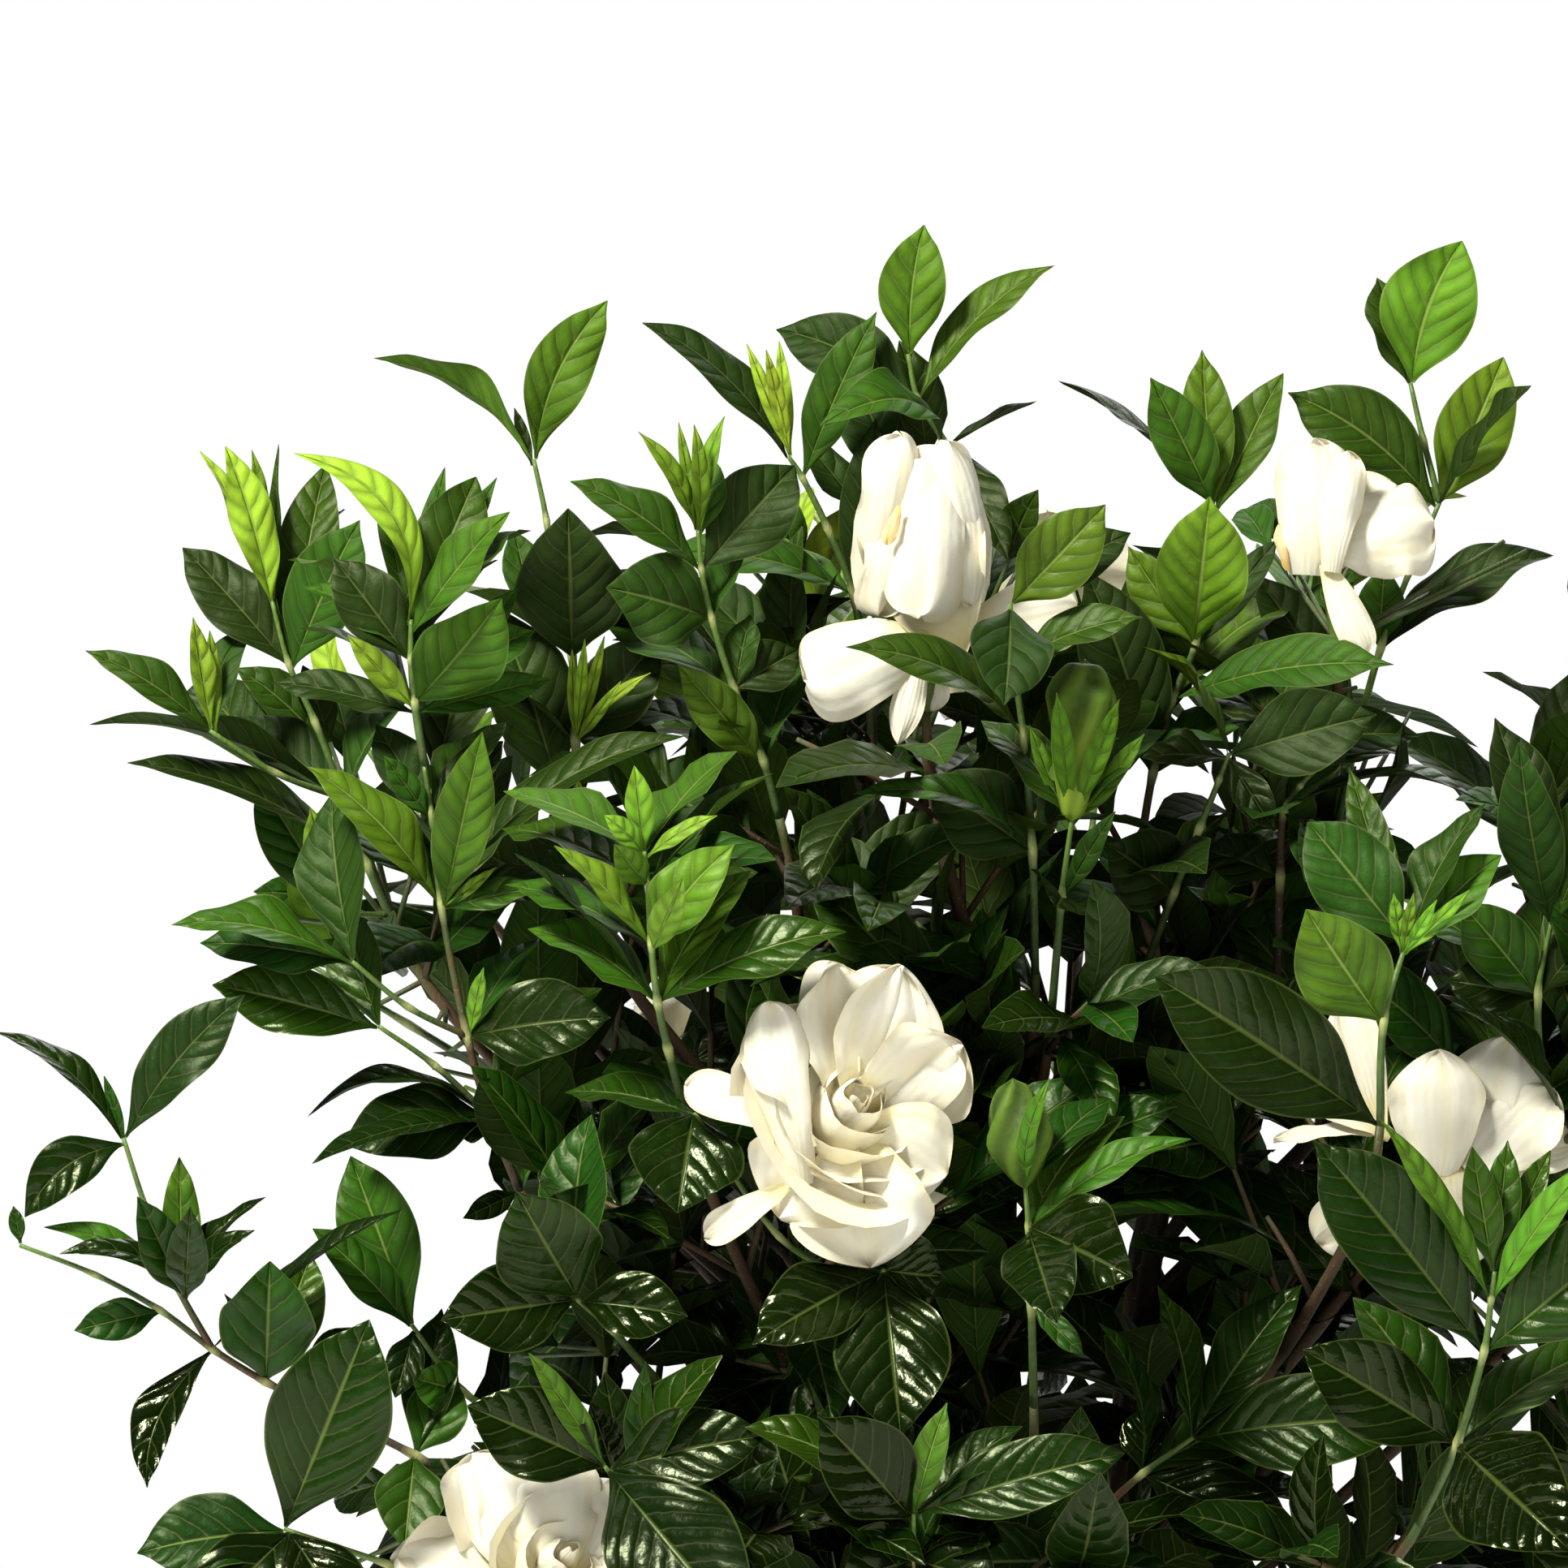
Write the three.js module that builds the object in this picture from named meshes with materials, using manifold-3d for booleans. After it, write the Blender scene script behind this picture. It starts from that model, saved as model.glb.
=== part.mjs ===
import * as THREE from 'three';
import { mergeVertices } from 'three/addons/utils/BufferGeometryUtils.js';
import Module from 'manifold-3d';

const wasm = await Module();
wasm.setup();

// Driving dimensions, in millimetres and degrees.
// The crown is laid out from two datum planes: across, to the right of the crown's left edge,
// and down, below a level near its top. Depth runs away from the viewer.
const axisAcross = 307.5;
const datumHeight = 782.5;
const potHeight = 246;
const potTopRadius = 146;
const potFootRadius = 104;
const potWall = 7;
const potFloor = 9;
const rimHeight = 34;
const rimOverhang = 8;
const potSides = 24;
const soilBelowRim = 20;
const soilGap = 0.4;
const stemRing = 40;
const stemRadius = 5.6;
const stemTopRadius = 2.4;
const stemSpread = 34;
const stemTop = 478;
const branchRadius = 1.9;
const twigRadius = 1.3;
const bladeThickness = 0.72;
const jointGap = 0.45;
const holeGap = 0.35;
const crownMiddle = 486;
const crownRadii = [286, 236, 214];

const place = (across, depth, down) => new THREE.Vector3(across - axisAcross, depth, datumHeight - down);

// Each shoot: twigs as lists of [across, depth, down], whose nodes are numbered through, and leaves as
// [node, tip across, tip down, width, lean, roll, arch, tone, sway]. Lean is how far the tip lies behind
// its node. Roll turns the upper face from the viewer towards the sky. Tone runs from 0, dark and old,
// to 3, yellow-green and young.
const shoots = [
  { "name": "shoot_upper_left", "twigs": [
    [[121, -40, 287], [112, -44, 266], [105, -48, 246], [96, -52, 222], [88, -56, 204], [83, -58, 185]],
    [[105, -48, 246], [84, -62, 238], [64, -70, 225]],
    [[119, -41, 282], [104, -48, 282]]],
  "leaves": [
    [5, 69, 137, 15, -8, 25, 0.06, 3], [5, 61, 138, 11, 6, 50, 0.06, 3], [5, 77, 138, 7, 10, 30, 0.02, 2],
    [5, 84, 136, 7, 14, 60, 0, 1], [4, 99, 142, 19, 14, 10, 0.05, 1], [4, 55, 168, 21, 4, 15, 0.05, 0],
    [4, 110, 160, 24, -12, 15, 0.06, 1], [2, 27, 222, 20, -26, 112, 0.1, 0],
    [1, 39, 234, 22, -26, 65, 0.08, 0], [2, 70, 220, 20, 12, 35, 0.05, 0],
    [8, 26, 200, 15, -6, 40, 0.08, 1], [8, 59, 190, 8, -2, 20, 0, 3], [8, 64, 194, 6, 4, 20, 0, 3],
    [8, 76, 193, 13, 6, 20, 0.08, 1, 0.1], [10, 78, 240, 21, 2, 0, 0.05, 1],
    [10, 95, 249, 13, -6, 0, 0.04, 3]] },
  { "name": "shoot_left_main", "twigs": [
    [[160, -96, 367], [151, -104, 344], [144, -112, 319], [136, -120, 278], [133, -122, 250], [131, -124, 236]],
    [[144, -112, 319], [126, -122, 310], [109, -130, 296]],
    [[151, -104, 344], [134, -112, 328], [117, -120, 316]]],
  "leaves": [
    [8, 54, 284, 22, -10, 60, 0.1, 1], [8, 62, 290, 18, 10, 30, 0.06, 0],
    [11, 66, 303, 23, -4, 20, 0.05, 1], [3, 96, 236, 19, -14, 40, 0.1, 3],
    [3, 210, 226, 22, -18, 62, 0.12, 1], [3, 149, 226, 18, -8, 0, 0.05, 2],
    [4, 155, 228, 14, 16, 20, 0.04, 0], [4, 116, 223, 16, 10, 10, 0.04, 0],
    [4, 119, 233, 9, -2, 10, 0, 1], [1, 95, 343, 17, -6, 75, 0.22, 0], [1, 106, 352, 26, -18, 25, 0.1, 0],
    [1, 97, 357, 13, -30, 60, 0.08, 0], [1, 140, 349, 10, -2, 20, 0, 0], [0, 143, 372, 8, -4, 20, 0, 0],
    [3, 153, 267, 4, -6, 20, 0, 3], [2, 149, 298, 6, -10, 30, 0, 3], [2, 188, 313, 28, -14, 20, 0.06, 0],
    [3, 168, 273, 10, -10, 30, 0.04, 1]] },
  { "name": "shoot_left_apex", "twigs": [
    [[131, -124, 235.4], [128, -126, 216], [127, -128, 203], [127, -128, 191]]],
  "grownOn": "shoot_left_main",
  "leaves": [
    [3, 92, 140, 15, -16, 40, 0.2, 3, -0.12], [3, 147, 147, 23, -6, -5, 0.06, 1],
    [3, 117, 146, 8, 8, 10, 0, 1], [3, 137, 144, 9, 4, 20, 0, 1], [3, 153, 147, 9, 14, 20, 0, 1],
    [3, 157, 158, 17, 8, 35, 0.05, 2], [2, 103, 172, 21, 4, 10, 0.05, 0],
    [1, 155, 185, 28, -20, -20, 0.05, 3], [1, 165, 194, 22, -6, 35, 0.08, 1],
    [1, 160, 181, 12, 8, 10, 0.03, 1], [1, 108, 196, 9, -12, 5, 0.02, 3],
    [1, 84, 210, 14, 10, 40, 0.05, 0], [1, 170, 209, 12, 20, 20, 0.03, 2]] },
  { "name": "shoot_left_sprig", "twigs": [
    [[178, -60, 262], [177, -66, 228], [176, -70, 202], [170, -66, 180], [168, -62, 160], [164, -60, 141]]],
  "leaves": [
    [5, 115, 109, 21, 0, 112, 0.13, 2], [5, 187, 92, 20, -4, -10, 0.05, 2, 0.1],
    [5, 158, 125, 4, 2, 0, 0, 0], [2, 175, 157, 35, -30, 0, 0.1, 0], [1, 176, 200, 4, -10, 0, 0, 3],
    [1, 180, 197, 4, -15, 0, 0, 3], [1, 186, 196, 4, -12, 0, 0, 3], [1, 191, 210, 4, -16, 0, 0.1, 3],
    [1, 200, 207, 5, -14, 40, 0.1, 3], [1, 203, 196, 24, -4, 10, 0.05, 0],
    [0, 178, 239, 5, -10, 0, 0, 3]] },
  { "name": "shoot_mid_left", "twigs": [
    [[240, -70, 252], [235, -76, 234], [226, -84, 212], [219, -88, 190], [216, -90, 175], [215, -92, 163]]],
  "leaves": [
    [4, 176, 148, 18, -12, 40, 0.1, 1], [4, 245, 143, 26, 12, 5, 0.05, 0],
    [5, 197, 133, 7, -8, 30, 0.15, 2], [5, 209, 130, 4, 2, 0, 0, 2], [5, 214, 131, 6, -4, 20, 0.1, 2],
    [5, 223, 128, 7, -2, 30, 0.12, 2], [5, 219, 140, 13, 6, 0, 0.03, 1],
    [3, 187, 181, 30, -18, 15, 0.08, 0], [1, 209, 205, 16, -10, 5, 0.04, 1],
    [2, 246, 200, 17, 8, 10, 0.04, 0], [2, 231, 189, 12, 6, 20, 0.03, 1]] },
  { "name": "shoot_upper_mid", "twigs": [
    [[268, -14, 215], [263, -26, 182], [255, -32, 162], [247, -36, 146], [243, -38, 140]]],
  "leaves": [
    [4, 198, 98, 17, -6, 45, 0.08, 0, -0.04], [4, 230, 105, 5, -4, 0, 0.05, 3],
    [4, 236, 107, 5, -8, 0, 0, 3], [4, 240, 104, 5, 2, 0, 0, 3], [3, 270, 95, 17, -6, 15, 0.06, 1],
    [1, 203, 170, 20, -20, 50, 0.1, 1], [1, 270, 128, 15, -12, 10, 0.05, 0],
    [1, 231, 199, 13, 6, 40, 0.1, 0]] },
  { "name": "shoot_top", "twigs": [
    [[300, -10, 200], [298, -24, 160], [291, -32, 135], [283, -36, 122], [280, -36, 108]]],
  "leaves": [
    [4, 285, 68, 21, -4, 0, 0.04, 2, 0.04], [3, 325, 80, 18, 2, 50, 0.06, 2, 0.06],
    [3, 239, 100, 23, 10, 15, 0.08, 0, -0.05], [2, 253, 130, 21, -38, 55, 0.26, 1],
    [2, 311, 172, 16, -30, 20, 0.06, 0], [2, 320, 122, 14, 8, 85, 0.03, 0]] },
  { "name": "shoot_beside_bloom", "twigs": [
    [[319, -86, 300], [318, -100, 262], [315, -114, 226], [312, -124, 204], [311, -128, 186]]],
  "leaves": [
    [4, 340, 156, 23, -10, -5, 0.06, 2], [4, 348, 164, 20, 10, 30, 0.04, 0],
    [4, 309, 217, 26, -26, -10, 0.06, 0], [2, 261, 199, 20, -34, 50, 0.14, 1],
    [3, 351, 190, 17, -14, 45, 0.08, 1], [1, 286, 240, 28, -10, 10, 0.05, 0],
    [1, 263, 244, 16, -12, 60, 0.15, 1]] },
  { "name": "shoot_bud_upper", "twigs": [
    [[324, -96, 312], [327, -112, 276], [330, -120, 252]]],
  "bud": [2, 334, 205, 14],
  "leaves": [
    [2, 325, 214, 7, -8, 0, -0.04, 3], [2, 344, 216, 7, -8, 0, -0.04, 3],
    [2, 352, 226, 7, -4, 20, -0.04, 1], [2, 317, 223, 6, -2, 20, -0.03, 1],
    [1, 325, 279, 26, -24, 0, 0.06, 0], [1, 343, 250, 8, -8, 20, 0.04, 1]] },
  { "name": "shoot_upper_right", "twigs": [
    [[352, -36, 262], [356, -42, 238], [362, -48, 215], [369, -54, 198], [373, -56, 172], [375, -56, 155]]],
  "leaves": [
    [5, 327, 116, 17, -2, 80, 0.06, 0], [5, 355, 116, 19, 8, 10, 0.03, 1],
    [5, 371, 107, 17, 2, 0, 0.03, 1], [5, 396, 114, 17, -2, 25, 0.03, 1],
    [3, 373, 153, 29, -22, 0, 0.06, 2], [3, 348, 168, 16, 4, -20, 0.03, 2],
    [3, 395, 165, 12, 8, 20, 0.03, 0], [1, 335, 175, 28, -12, 20, 0.08, 0],
    [2, 429, 204, 21, -26, 40, 0.08, 1]] },
  { "name": "shoot_top_right", "twigs": [
    [[412, -16, 262], [420, -26, 225], [427, -32, 199], [436, -36, 175], [445, -40, 154]],
    [[445, -40, 154], [440, -38, 135], [436, -36, 117]]],
  "leaves": [
    [7, 452, 73, 30, -4, 0, 0.05, 2, 0.07], [7, 426, 84, 20, 8, 25, 0.05, 1],
    [4, 465, 109, 24, 2, -10, 0.05, 2], [4, 472, 118, 18, -14, 70, 0.05, 0],
    [4, 398, 120, 26, -6, 15, 0.06, 1, -0.06], [2, 480, 170, 24, -4, 50, 0.12, 0],
    [2, 428, 174, 15, 4, 10, 0.03, 1], [1, 388, 176, 22, 6, 20, 0.05, 0]] },
  { "name": "shoot_right_streaked", "twigs": [
    [[352, -64, 302], [362, -70, 275], [370, -74, 255], [376, -78, 240], [379, -80, 232]]],
  "leaves": [
    [4, 424, 220, 27, -10, 10, 0.05, 0], [4, 438, 226, 22, 8, 40, 0.06, 0],
    [4, 352, 233, 16, -6, 50, 0.05, 0], [4, 393, 256, 12, -8, 0, 0.04, 0],
    [1, 341, 260, 27, -16, 10, 0.12, 0]] },
  { "name": "shoot_far_right", "twigs": [
    [[394, -60, 304], [395, -68, 270], [396, -74, 250], [401, -76, 242], [407, -78, 236]]],
  "leaves": [
    [2, 457, 246, 16, -4, 80, 0.16, 0], [2, 416, 290, 14, -26, 30, 0.05, 1],
    [4, 420, 214, 18, 18, 30, 0.05, 0], [1, 372, 262, 20, 4, 30, 0.06, 0]] },
  { "name": "shoot_right_bright", "twigs": [
    [[424, -150, 346], [425, -154, 314], [432, -150, 290]]],
  "leaves": [
    [1, 401, 280, 30, -14, -10, 0.05, 2], [2, 402, 253, 28, 10, 5, 0.05, 1],
    [2, 461, 263, 21, 2, 35, 0.05, 1], [2, 415, 236, 13, 26, 0, 0.03, 1],
    [2, 456, 247, 18, 20, 50, 0.08, 1], [2, 428, 275, 5, -6, 0, 0, 3], [2, 434, 275, 4, -9, 0, 0, 3],
    [2, 451, 274, 5, -8, 0, 0, 3], [2, 441, 277, 4, -12, 0, 0.05, 3],
    [0, 355, 300, 38, -20, 10, 0.06, 0]] },
  { "name": "shoot_right_edge", "twigs": [
    [[476, -78, 342], [474, -92, 306], [478, -98, 284]]],
  "leaves": [
    [2, 461, 221, 24, 0, 30, 0.12, 0, 0.05], [2, 467, 229, 20, -14, -10, 0.1, 1],
    [2, 507, 232, 22, -4, 30, 0.08, 1], [1, 450, 278, 22, -10, 10, 0.05, 1],
    [1, 502, 276, 20, -8, 30, 0.05, 0], [1, 446, 302, 20, 6, 20, 0.06, 0]] },
  { "name": "shoot_lower_right", "twigs": [
    [[436, -150, 468], [447, -170, 443], [455, -184, 414], [457, -188, 398], [458, -190, 390]]],
  "leaves": [
    [2, 403, 350, 34, -14, 10, 0.06, 0], [3, 423, 343, 10, -26, 40, 0.04, 3],
    [3, 487, 356, 13, -22, 40, 0.05, 3], [4, 451, 352, 12, -6, 0, 0.03, 1],
    [4, 462, 350, 12, 2, 0, 0.03, 1], [4, 475, 353, 11, 6, 20, 0.03, 1],
    [2, 509, 372, 32, -14, 10, 0.06, 1], [1, 480, 474, 40, -48, 0, 0.1, 1],
    [1, 400, 414, 30, -10, 10, 0.06, 0]] },
  { "name": "shoot_low_right", "twigs": [
    [[338, -110, 466], [352, -124, 453], [367, -134, 442]]],
  "leaves": [
    [2, 435, 436, 31, -14, 15, 0.12, 1], [2, 400, 395, 21, 4, 30, 0.06, 1],
    [1, 398, 478, 30, -20, 20, 0.06, 0], [1, 354, 432, 16, 8, 20, 0.05, 0]] },
  { "name": "shoot_bud_lower", "twigs": [
    [[318, -150, 432], [317, -172, 400], [316, -188, 376], [315, -192, 364]]],
  "bud": [3, 311, 331, 20],
  "leaves": [
    [3, 322, 331, 7, -6, 30, 0.15, 2], [2, 365, 349, 14, -10, 50, 0.1, 2],
    [2, 347, 391, 34, -24, 5, 0.06, 0], [2, 324, 404, 24, -32, 0, 0.06, 0],
    [1, 333, 416, 8, -12, 20, 0, 2]] },
  { "name": "shoot_centre_bright", "twigs": [
    [[212, -150, 346], [206, -172, 322], [203, -184, 308], [201, -190, 290], [200, -192, 272], [199, -194, 262]]],
  "leaves": [
    [3, 172, 260, 13, -10, 50, 0.06, 3], [5, 196, 236, 9, -2, 10, 0.03, 2],
    [5, 187, 251, 8, 2, 20, 0.1, 2], [5, 221, 251, 6, -4, 30, 0.1, 2], [4, 190, 260, 10, -8, 0, 0.03, 1],
    [3, 226, 260, 20, -12, 20, 0.15, 3], [3, 211, 270, 10, -20, 0, 0.05, 3],
    [2, 160, 262, 20, -4, 82, 0.04, 0], [2, 260, 286, 22, -12, 40, 0.1, 1]] },
  { "name": "shoot_under_bloom", "twigs": [
    [[262, -132, 396], [268, -152, 394], [272, -166, 390]],
    [[264, -140, 395], [240, -150, 380], [214, -164, 342]]],
  "leaves": [
    [2, 277, 440, 36, -24, 0, 0.06, 0], [2, 290, 392, 27, -8, -10, 0.05, 0],
    [2, 232, 412, 26, -10, 20, 0.06, 0], [5, 209, 372, 36, -18, 0, 0.06, 0]] },
  { "name": "shoot_low_centre", "twigs": [
    [[282, -150, 500], [281, -172, 478], [281, -184, 464]]],
  "leaves": [
    [2, 345, 445, 24, -10, 20, 0.06, 1], [2, 291, 430, 11, -8, 10, 0.1, 3],
    [2, 252, 434, 30, -14, 10, 0.06, 0], [1, 258, 486, 30, -20, 0, 0.08, 0],
    [1, 306, 488, 28, -16, 20, 0.08, 0]] },
  { "name": "shoot_low_left_glossy", "twigs": [
    [[150, -140, 492], [120, -158, 480], [89, -170, 469]]],
  "leaves": [
    [2, 115, 405, 38, -14, 0, 0.05, 1], [2, 44, 476, 28, -4, 30, 0.06, 0],
    [2, 60, 502, 27, -20, 10, 0.08, 0], [2, 112, 504, 26, -14, 20, 0.06, 0]] },
  { "name": "shoot_left_arm", "twigs": [
    [[150, -104, 462], [128, -112, 448], [100, -118, 434], [82, -122, 425], [66, -126, 415], [50, -128, 403],
      [30, -130, 392], [7, -132, 383]],
    [[66, -126, 415], [55, -132, 395], [46, -136, 372], [39, -138, 350]]],
  "leaves": [
    [11, 76, 306, 20, -6, 20, 0.04, 0, 0.04], [11, 0, 317, 14, 2, 60, 0.12, 0],
    [11, 9, 374, 17, -8, 10, 0.08, 0, -0.12], [11, 33, 331, 4, 2, 0, 0, 1],
    [9, 15, 377, 10, -8, 40, 0.15, 2], [9, 20, 385, 10, -16, 50, 0.2, 0],
    [9, 56, 356, 12, 2, 10, 0.04, 2], [9, 82, 368, 11, 6, 60, 0.1, 0], [9, 79, 378, 11, -8, 50, 0.1, 0],
    [9, 44, 368, 15, -18, 10, 0.05, 0], [9, 60, 371, 13, -24, 0, 0.05, 1], [7, 5, 371, 5, 2, 0, 0, 1],
    [5, 24, 409, 13, -8, 10, 0.05, 1], [4, 46, 457, 16, -12, 30, -0.06, 0, -0.18],
    [3, 84, 388, 30, -20, 0, 0.05, 1], [4, 124, 371, 15, -8, 75, 0.05, 0],
    [1, 125, 476, 22, -18, 0, 0.08, 2]] },
  { "name": "shoot_left_olive", "twigs": [
    [[164, -92, 442], [142, -102, 428], [127, -110, 408]]],
  "leaves": [
    [2, 97, 378, 17, -10, 35, 0.05, 2], [2, 108, 356, 24, 8, 0, 0.05, 2],
    [2, 122, 430, 12, -8, 0, 0.03, 0], [1, 127, 424, 16, -14, 0, 0.05, 2]] },
  { "name": "shoot_left_heart", "twigs": [
    [[202, -126, 424], [188, -144, 408], [178, -158, 399]]],
  "leaves": [
    [2, 137, 405, 28, -14, 10, 0.05, 0], [2, 160, 366, 34, -16, -5, 0.05, 1],
    [2, 212, 404, 22, -8, 20, 0.06, 0]] },
  { "name": "shoot_low_left", "twigs": [
    [[206, -132, 476], [196, -156, 462], [187, -174, 450]]],
  "leaves": [
    [2, 145, 431, 29, -6, 10, 0.06, 0], [2, 164, 415, 9, -4, 20, 0.03, 3],
    [2, 230, 500, 42, -38, 0, 0.08, 0], [2, 236, 440, 26, -6, 20, 0.06, 0],
    [1, 199, 418, 10, -12, 20, 0, 2]] },
];

// Blooms in the crown's front: core [across, depth, down], the way the bloom opens, cupped petals as
// [tip across, tip down, lean, width, arch], and open ones that face the viewer, with their roll as well
const blooms = [
  { "name": "bloom_centre", "core": [262, -178, 345], "axis": [0.12, -1, -0.02], "size": 10, "cupped": [
    [257, 296, -2, 28, 0.05], [278, 297, -3, 30, 0.06], [296, 321, -2, 32, 0.06],
    [291, 361, -2, 34, 0.06], [268, 389, -1, 38, 0.08], [240, 374, -2, 34, 0.08],
    [233, 312, -4, 30, 0.08], [243, 309, -15, 27, 0.02], [284, 322, -14, 28, 0.02],
    [282, 364, -16, 30, 0.02], [247, 368, -15, 28, 0.02], [240, 340, -17, 26, 0.02],
    [262, 318, -27, 24, -0.06], [276, 346, -27, 24, -0.06], [256, 362, -27, 24, -0.06],
    [249, 338, -30, 20, -0.08], [266, 336, -34, 16, -0.14], [260, 350, -34, 16, -0.14]],
  "open": [[211, 333, 2, 15, 0.04, 10], [217, 380, 2, 12, 0.04, 10]] },
  { "name": "bloom_upper", "core": [285, -98, 203], "axis": [-0.02, -0.12, 1], "size": 6, "cupped": [
    [277, 138, -6, 34, -0.2], [292, 136, -4, 34, -0.2], [275, 139, 8, 34, -0.2], [290, 138, 10, 34, -0.2],
    [284, 141, 0, 22, -0.12]],
  "open": [[249, 203, -12, 32, 0.08, 0], [281, 226, -14, 14, 0.04, 0], [302, 176, -18, 22, 0.06, 0],
    [330, 182, 6, 28, 0.06, 0]] },
  { "name": "bloom_upper_right", "core": [412, -66, 182], "axis": [-0.06, -0.12, 1], "size": 6, "cupped": [
    [402, 137, -6, 30, -0.26], [413, 136, -3, 30, -0.26], [400, 138, 7, 30, -0.26],
    [411, 138, 9, 30, -0.26]],
  "open": [[441, 155, -10, 28, 0.06, 0], [395, 166, -14, 13, 0.06, 10], [424, 201, -12, 9, 0.04, 0]] },
  { "name": "bloom_lower_left", "core": [157, -156, 492], "axis": [-0.1, -0.9, 0.45], "size": 8, "cupped": [
    [147, 447, 4, 26, 0.06], [169, 448, 4, 28, 0.06], [188, 458, 0, 26, 0.06], [123, 478, -4, 26, 0.06],
    [127, 512, -8, 28, 0.06], [160, 526, -12, 30, 0.06], [192, 498, -8, 28, 0.06], [146, 470, -18, 24, 0],
    [170, 470, -18, 24, 0], [176, 496, -22, 24, 0], [150, 506, -24, 24, 0], [156, 484, -32, 16, -0.14],
    [163, 490, -32, 16, -0.14]],
  "open": [] },
  { "name": "bloom_right", "core": [440, -112, 352], "axis": [0.1, -0.85, 0.5], "size": 8, "cupped": [
    [466, 322, -4, 26, 0.05], [480, 344, -6, 26, 0.05], [448, 316, -6, 24, 0.05],
    [446, 390, -10, 24, 0.05], [472, 370, -10, 24, 0.05], [436, 330, -22, 20, 0], [456, 336, -22, 20, 0],
    [446, 360, -24, 20, 0]],
  "open": [[414, 311, -6, 13, 0.04, 0], [401, 334, -6, 14, 0.04, 0], [394, 350, -8, 12, 0.04, 0],
    [408, 378, -6, 20, 0.04, 0]] },
];

// Blooms of the crown's other sides: turn round the pot's axis, height and distance of the core, how far the
// bloom looks up, and its size as part of a full bloom's
const otherBlooms = [
  { "name": "bloom_side", "turn": -4, "height": 545, "reach": 236, "rise": 0.35, "scale": 1 },
  { "name": "bloom_back", "turn": 86, "height": 592, "reach": 168, "rise": 0.5, "scale": 1 },
  { "name": "bloom_back_left", "turn": 122, "height": 438, "reach": 180, "rise": 0.3, "scale": 0.95 },
];
const bloomSize = 9;
const bloomLayers = [
  { "count": 5, "tilt": 84, "length": 41, "width": 33, "arch": 0.07 },
  { "count": 3, "tilt": 50, "length": 34, "width": 30, "arch": 0.02 },
  { "count": 2, "tilt": 14, "length": 27, "width": 20, "arch": -0.14 }];

// The crown's outline seen from the front, which the hidden shoots keep inside, and the openings in it
const outline = [
  [56, 500], [44, 480], [96, 470], [112, 440], [148, 436], [158, 405], [146, 384], [150, 352], [128, 332],
  [98, 322], [68, 306], [62, 286], [76, 270], [76, 240], [44, 230], [44, 212], [66, 204], [80, 206], [62, 172],
  [75, 152], [92, 146], [116, 150], [150, 150], [168, 160], [195, 150], [222, 150], [240, 146], [250, 110],
  [280, 100], [300, 130], [330, 160], [350, 160], [375, 152], [400, 150], [425, 128], [450, 120], [480, 160],
  [540, 170], [590, 230], [620, 320], [610, 420], [580, 500], [560, 520], [80, 520]];
const openings = [
  [112, 215, 9], [115, 236, 7], [232, 184, 9], [239, 228, 6], [203, 313, 9], [122, 314, 10], [350, 248, 8],
  [362, 246, 8], [388, 240, 7], [398, 240, 6], [355, 285, 8], [325, 300, 8], [282, 250, 9], [308, 265, 7],
  [440, 250, 10], [440, 200, 9], [460, 265, 6], [228, 428, 5], [195, 430, 5], [432, 300, 5]];

// Blade shapes: half widths along the blade, as parts of its width
const longLeaf = { stations: [[0.26, 0.35], [0.56, 0.5], [0.84, 0.32]], ribbed: true };
const leafShape = { stations: [[0.33, 0.44], [0.72, 0.45]], ribbed: true };
const smallLeaf = { stations: [[0.34, 0.45], [0.72, 0.4]], ribbed: false };
const petalShape = { stations: [[0.4, 0.3], [0.84, 0.48]], ribbed: true };

// Same small generator everywhere, so each hidden shoot grows the same way each time
function randomFrom(seed) {
  let state = seed >>> 0;
  return () => {
    state = (state + 0x6d2b79f5) >>> 0;
    let mixed = Math.imul(state ^ (state >>> 15), state | 1);
    mixed ^= mixed + Math.imul(mixed ^ (mixed >>> 7), mixed | 61);
    return ((mixed ^ (mixed >>> 14)) >>> 0) / 4294967296;
  };
}

// The upper face of a blade seen from the front: turned to the viewer, then rolled towards the sky
function facingNormal(along, roll) {
  const facing = new THREE.Vector3(0, -1, 0);
  facing.addScaledVector(along, -facing.dot(along)).normalize();
  const skyward = along.clone().cross(facing);
  if (along.x >= 0) skyward.negate();
  const turn = THREE.MathUtils.degToRad(roll);
  return facing.multiplyScalar(Math.cos(turn)).addScaledVector(skyward, Math.sin(turn));
}

// Points of a blade: its root, then left, midrib and right at each station, then its tip. The sides rise from
// the midrib by fold, the midrib bows by arch. A blade that isn't ribbed is flat across.
function bladePoints(blade) {
  const span = blade.tip.clone().sub(blade.base);
  const length = span.length();
  const along = span.normalize();
  const normal = blade.normal;
  const left = normal.clone().cross(along);
  const at = (t, aside, raised) => {
    const bow = 4 * t * (1 - t) * length;
    return blade.base.clone()
      .addScaledVector(along, t * length)
      .addScaledVector(normal, blade.arch * bow + raised)
      .addScaledVector(left, (blade.sway ?? 0) * bow + aside);
  };
  const points = [at(0, 0, 0)];
  for (const [t, half] of blade.shape.stations) {
    const reach = half * blade.width;
    points.push(at(t, reach, blade.fold * reach));
    if (blade.shape.ribbed) points.push(at(t, 0, 0));
    points.push(at(t, -reach, blade.fold * reach));
  }
  points.push(at(1, 0, 0));
  return points;
}

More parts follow.
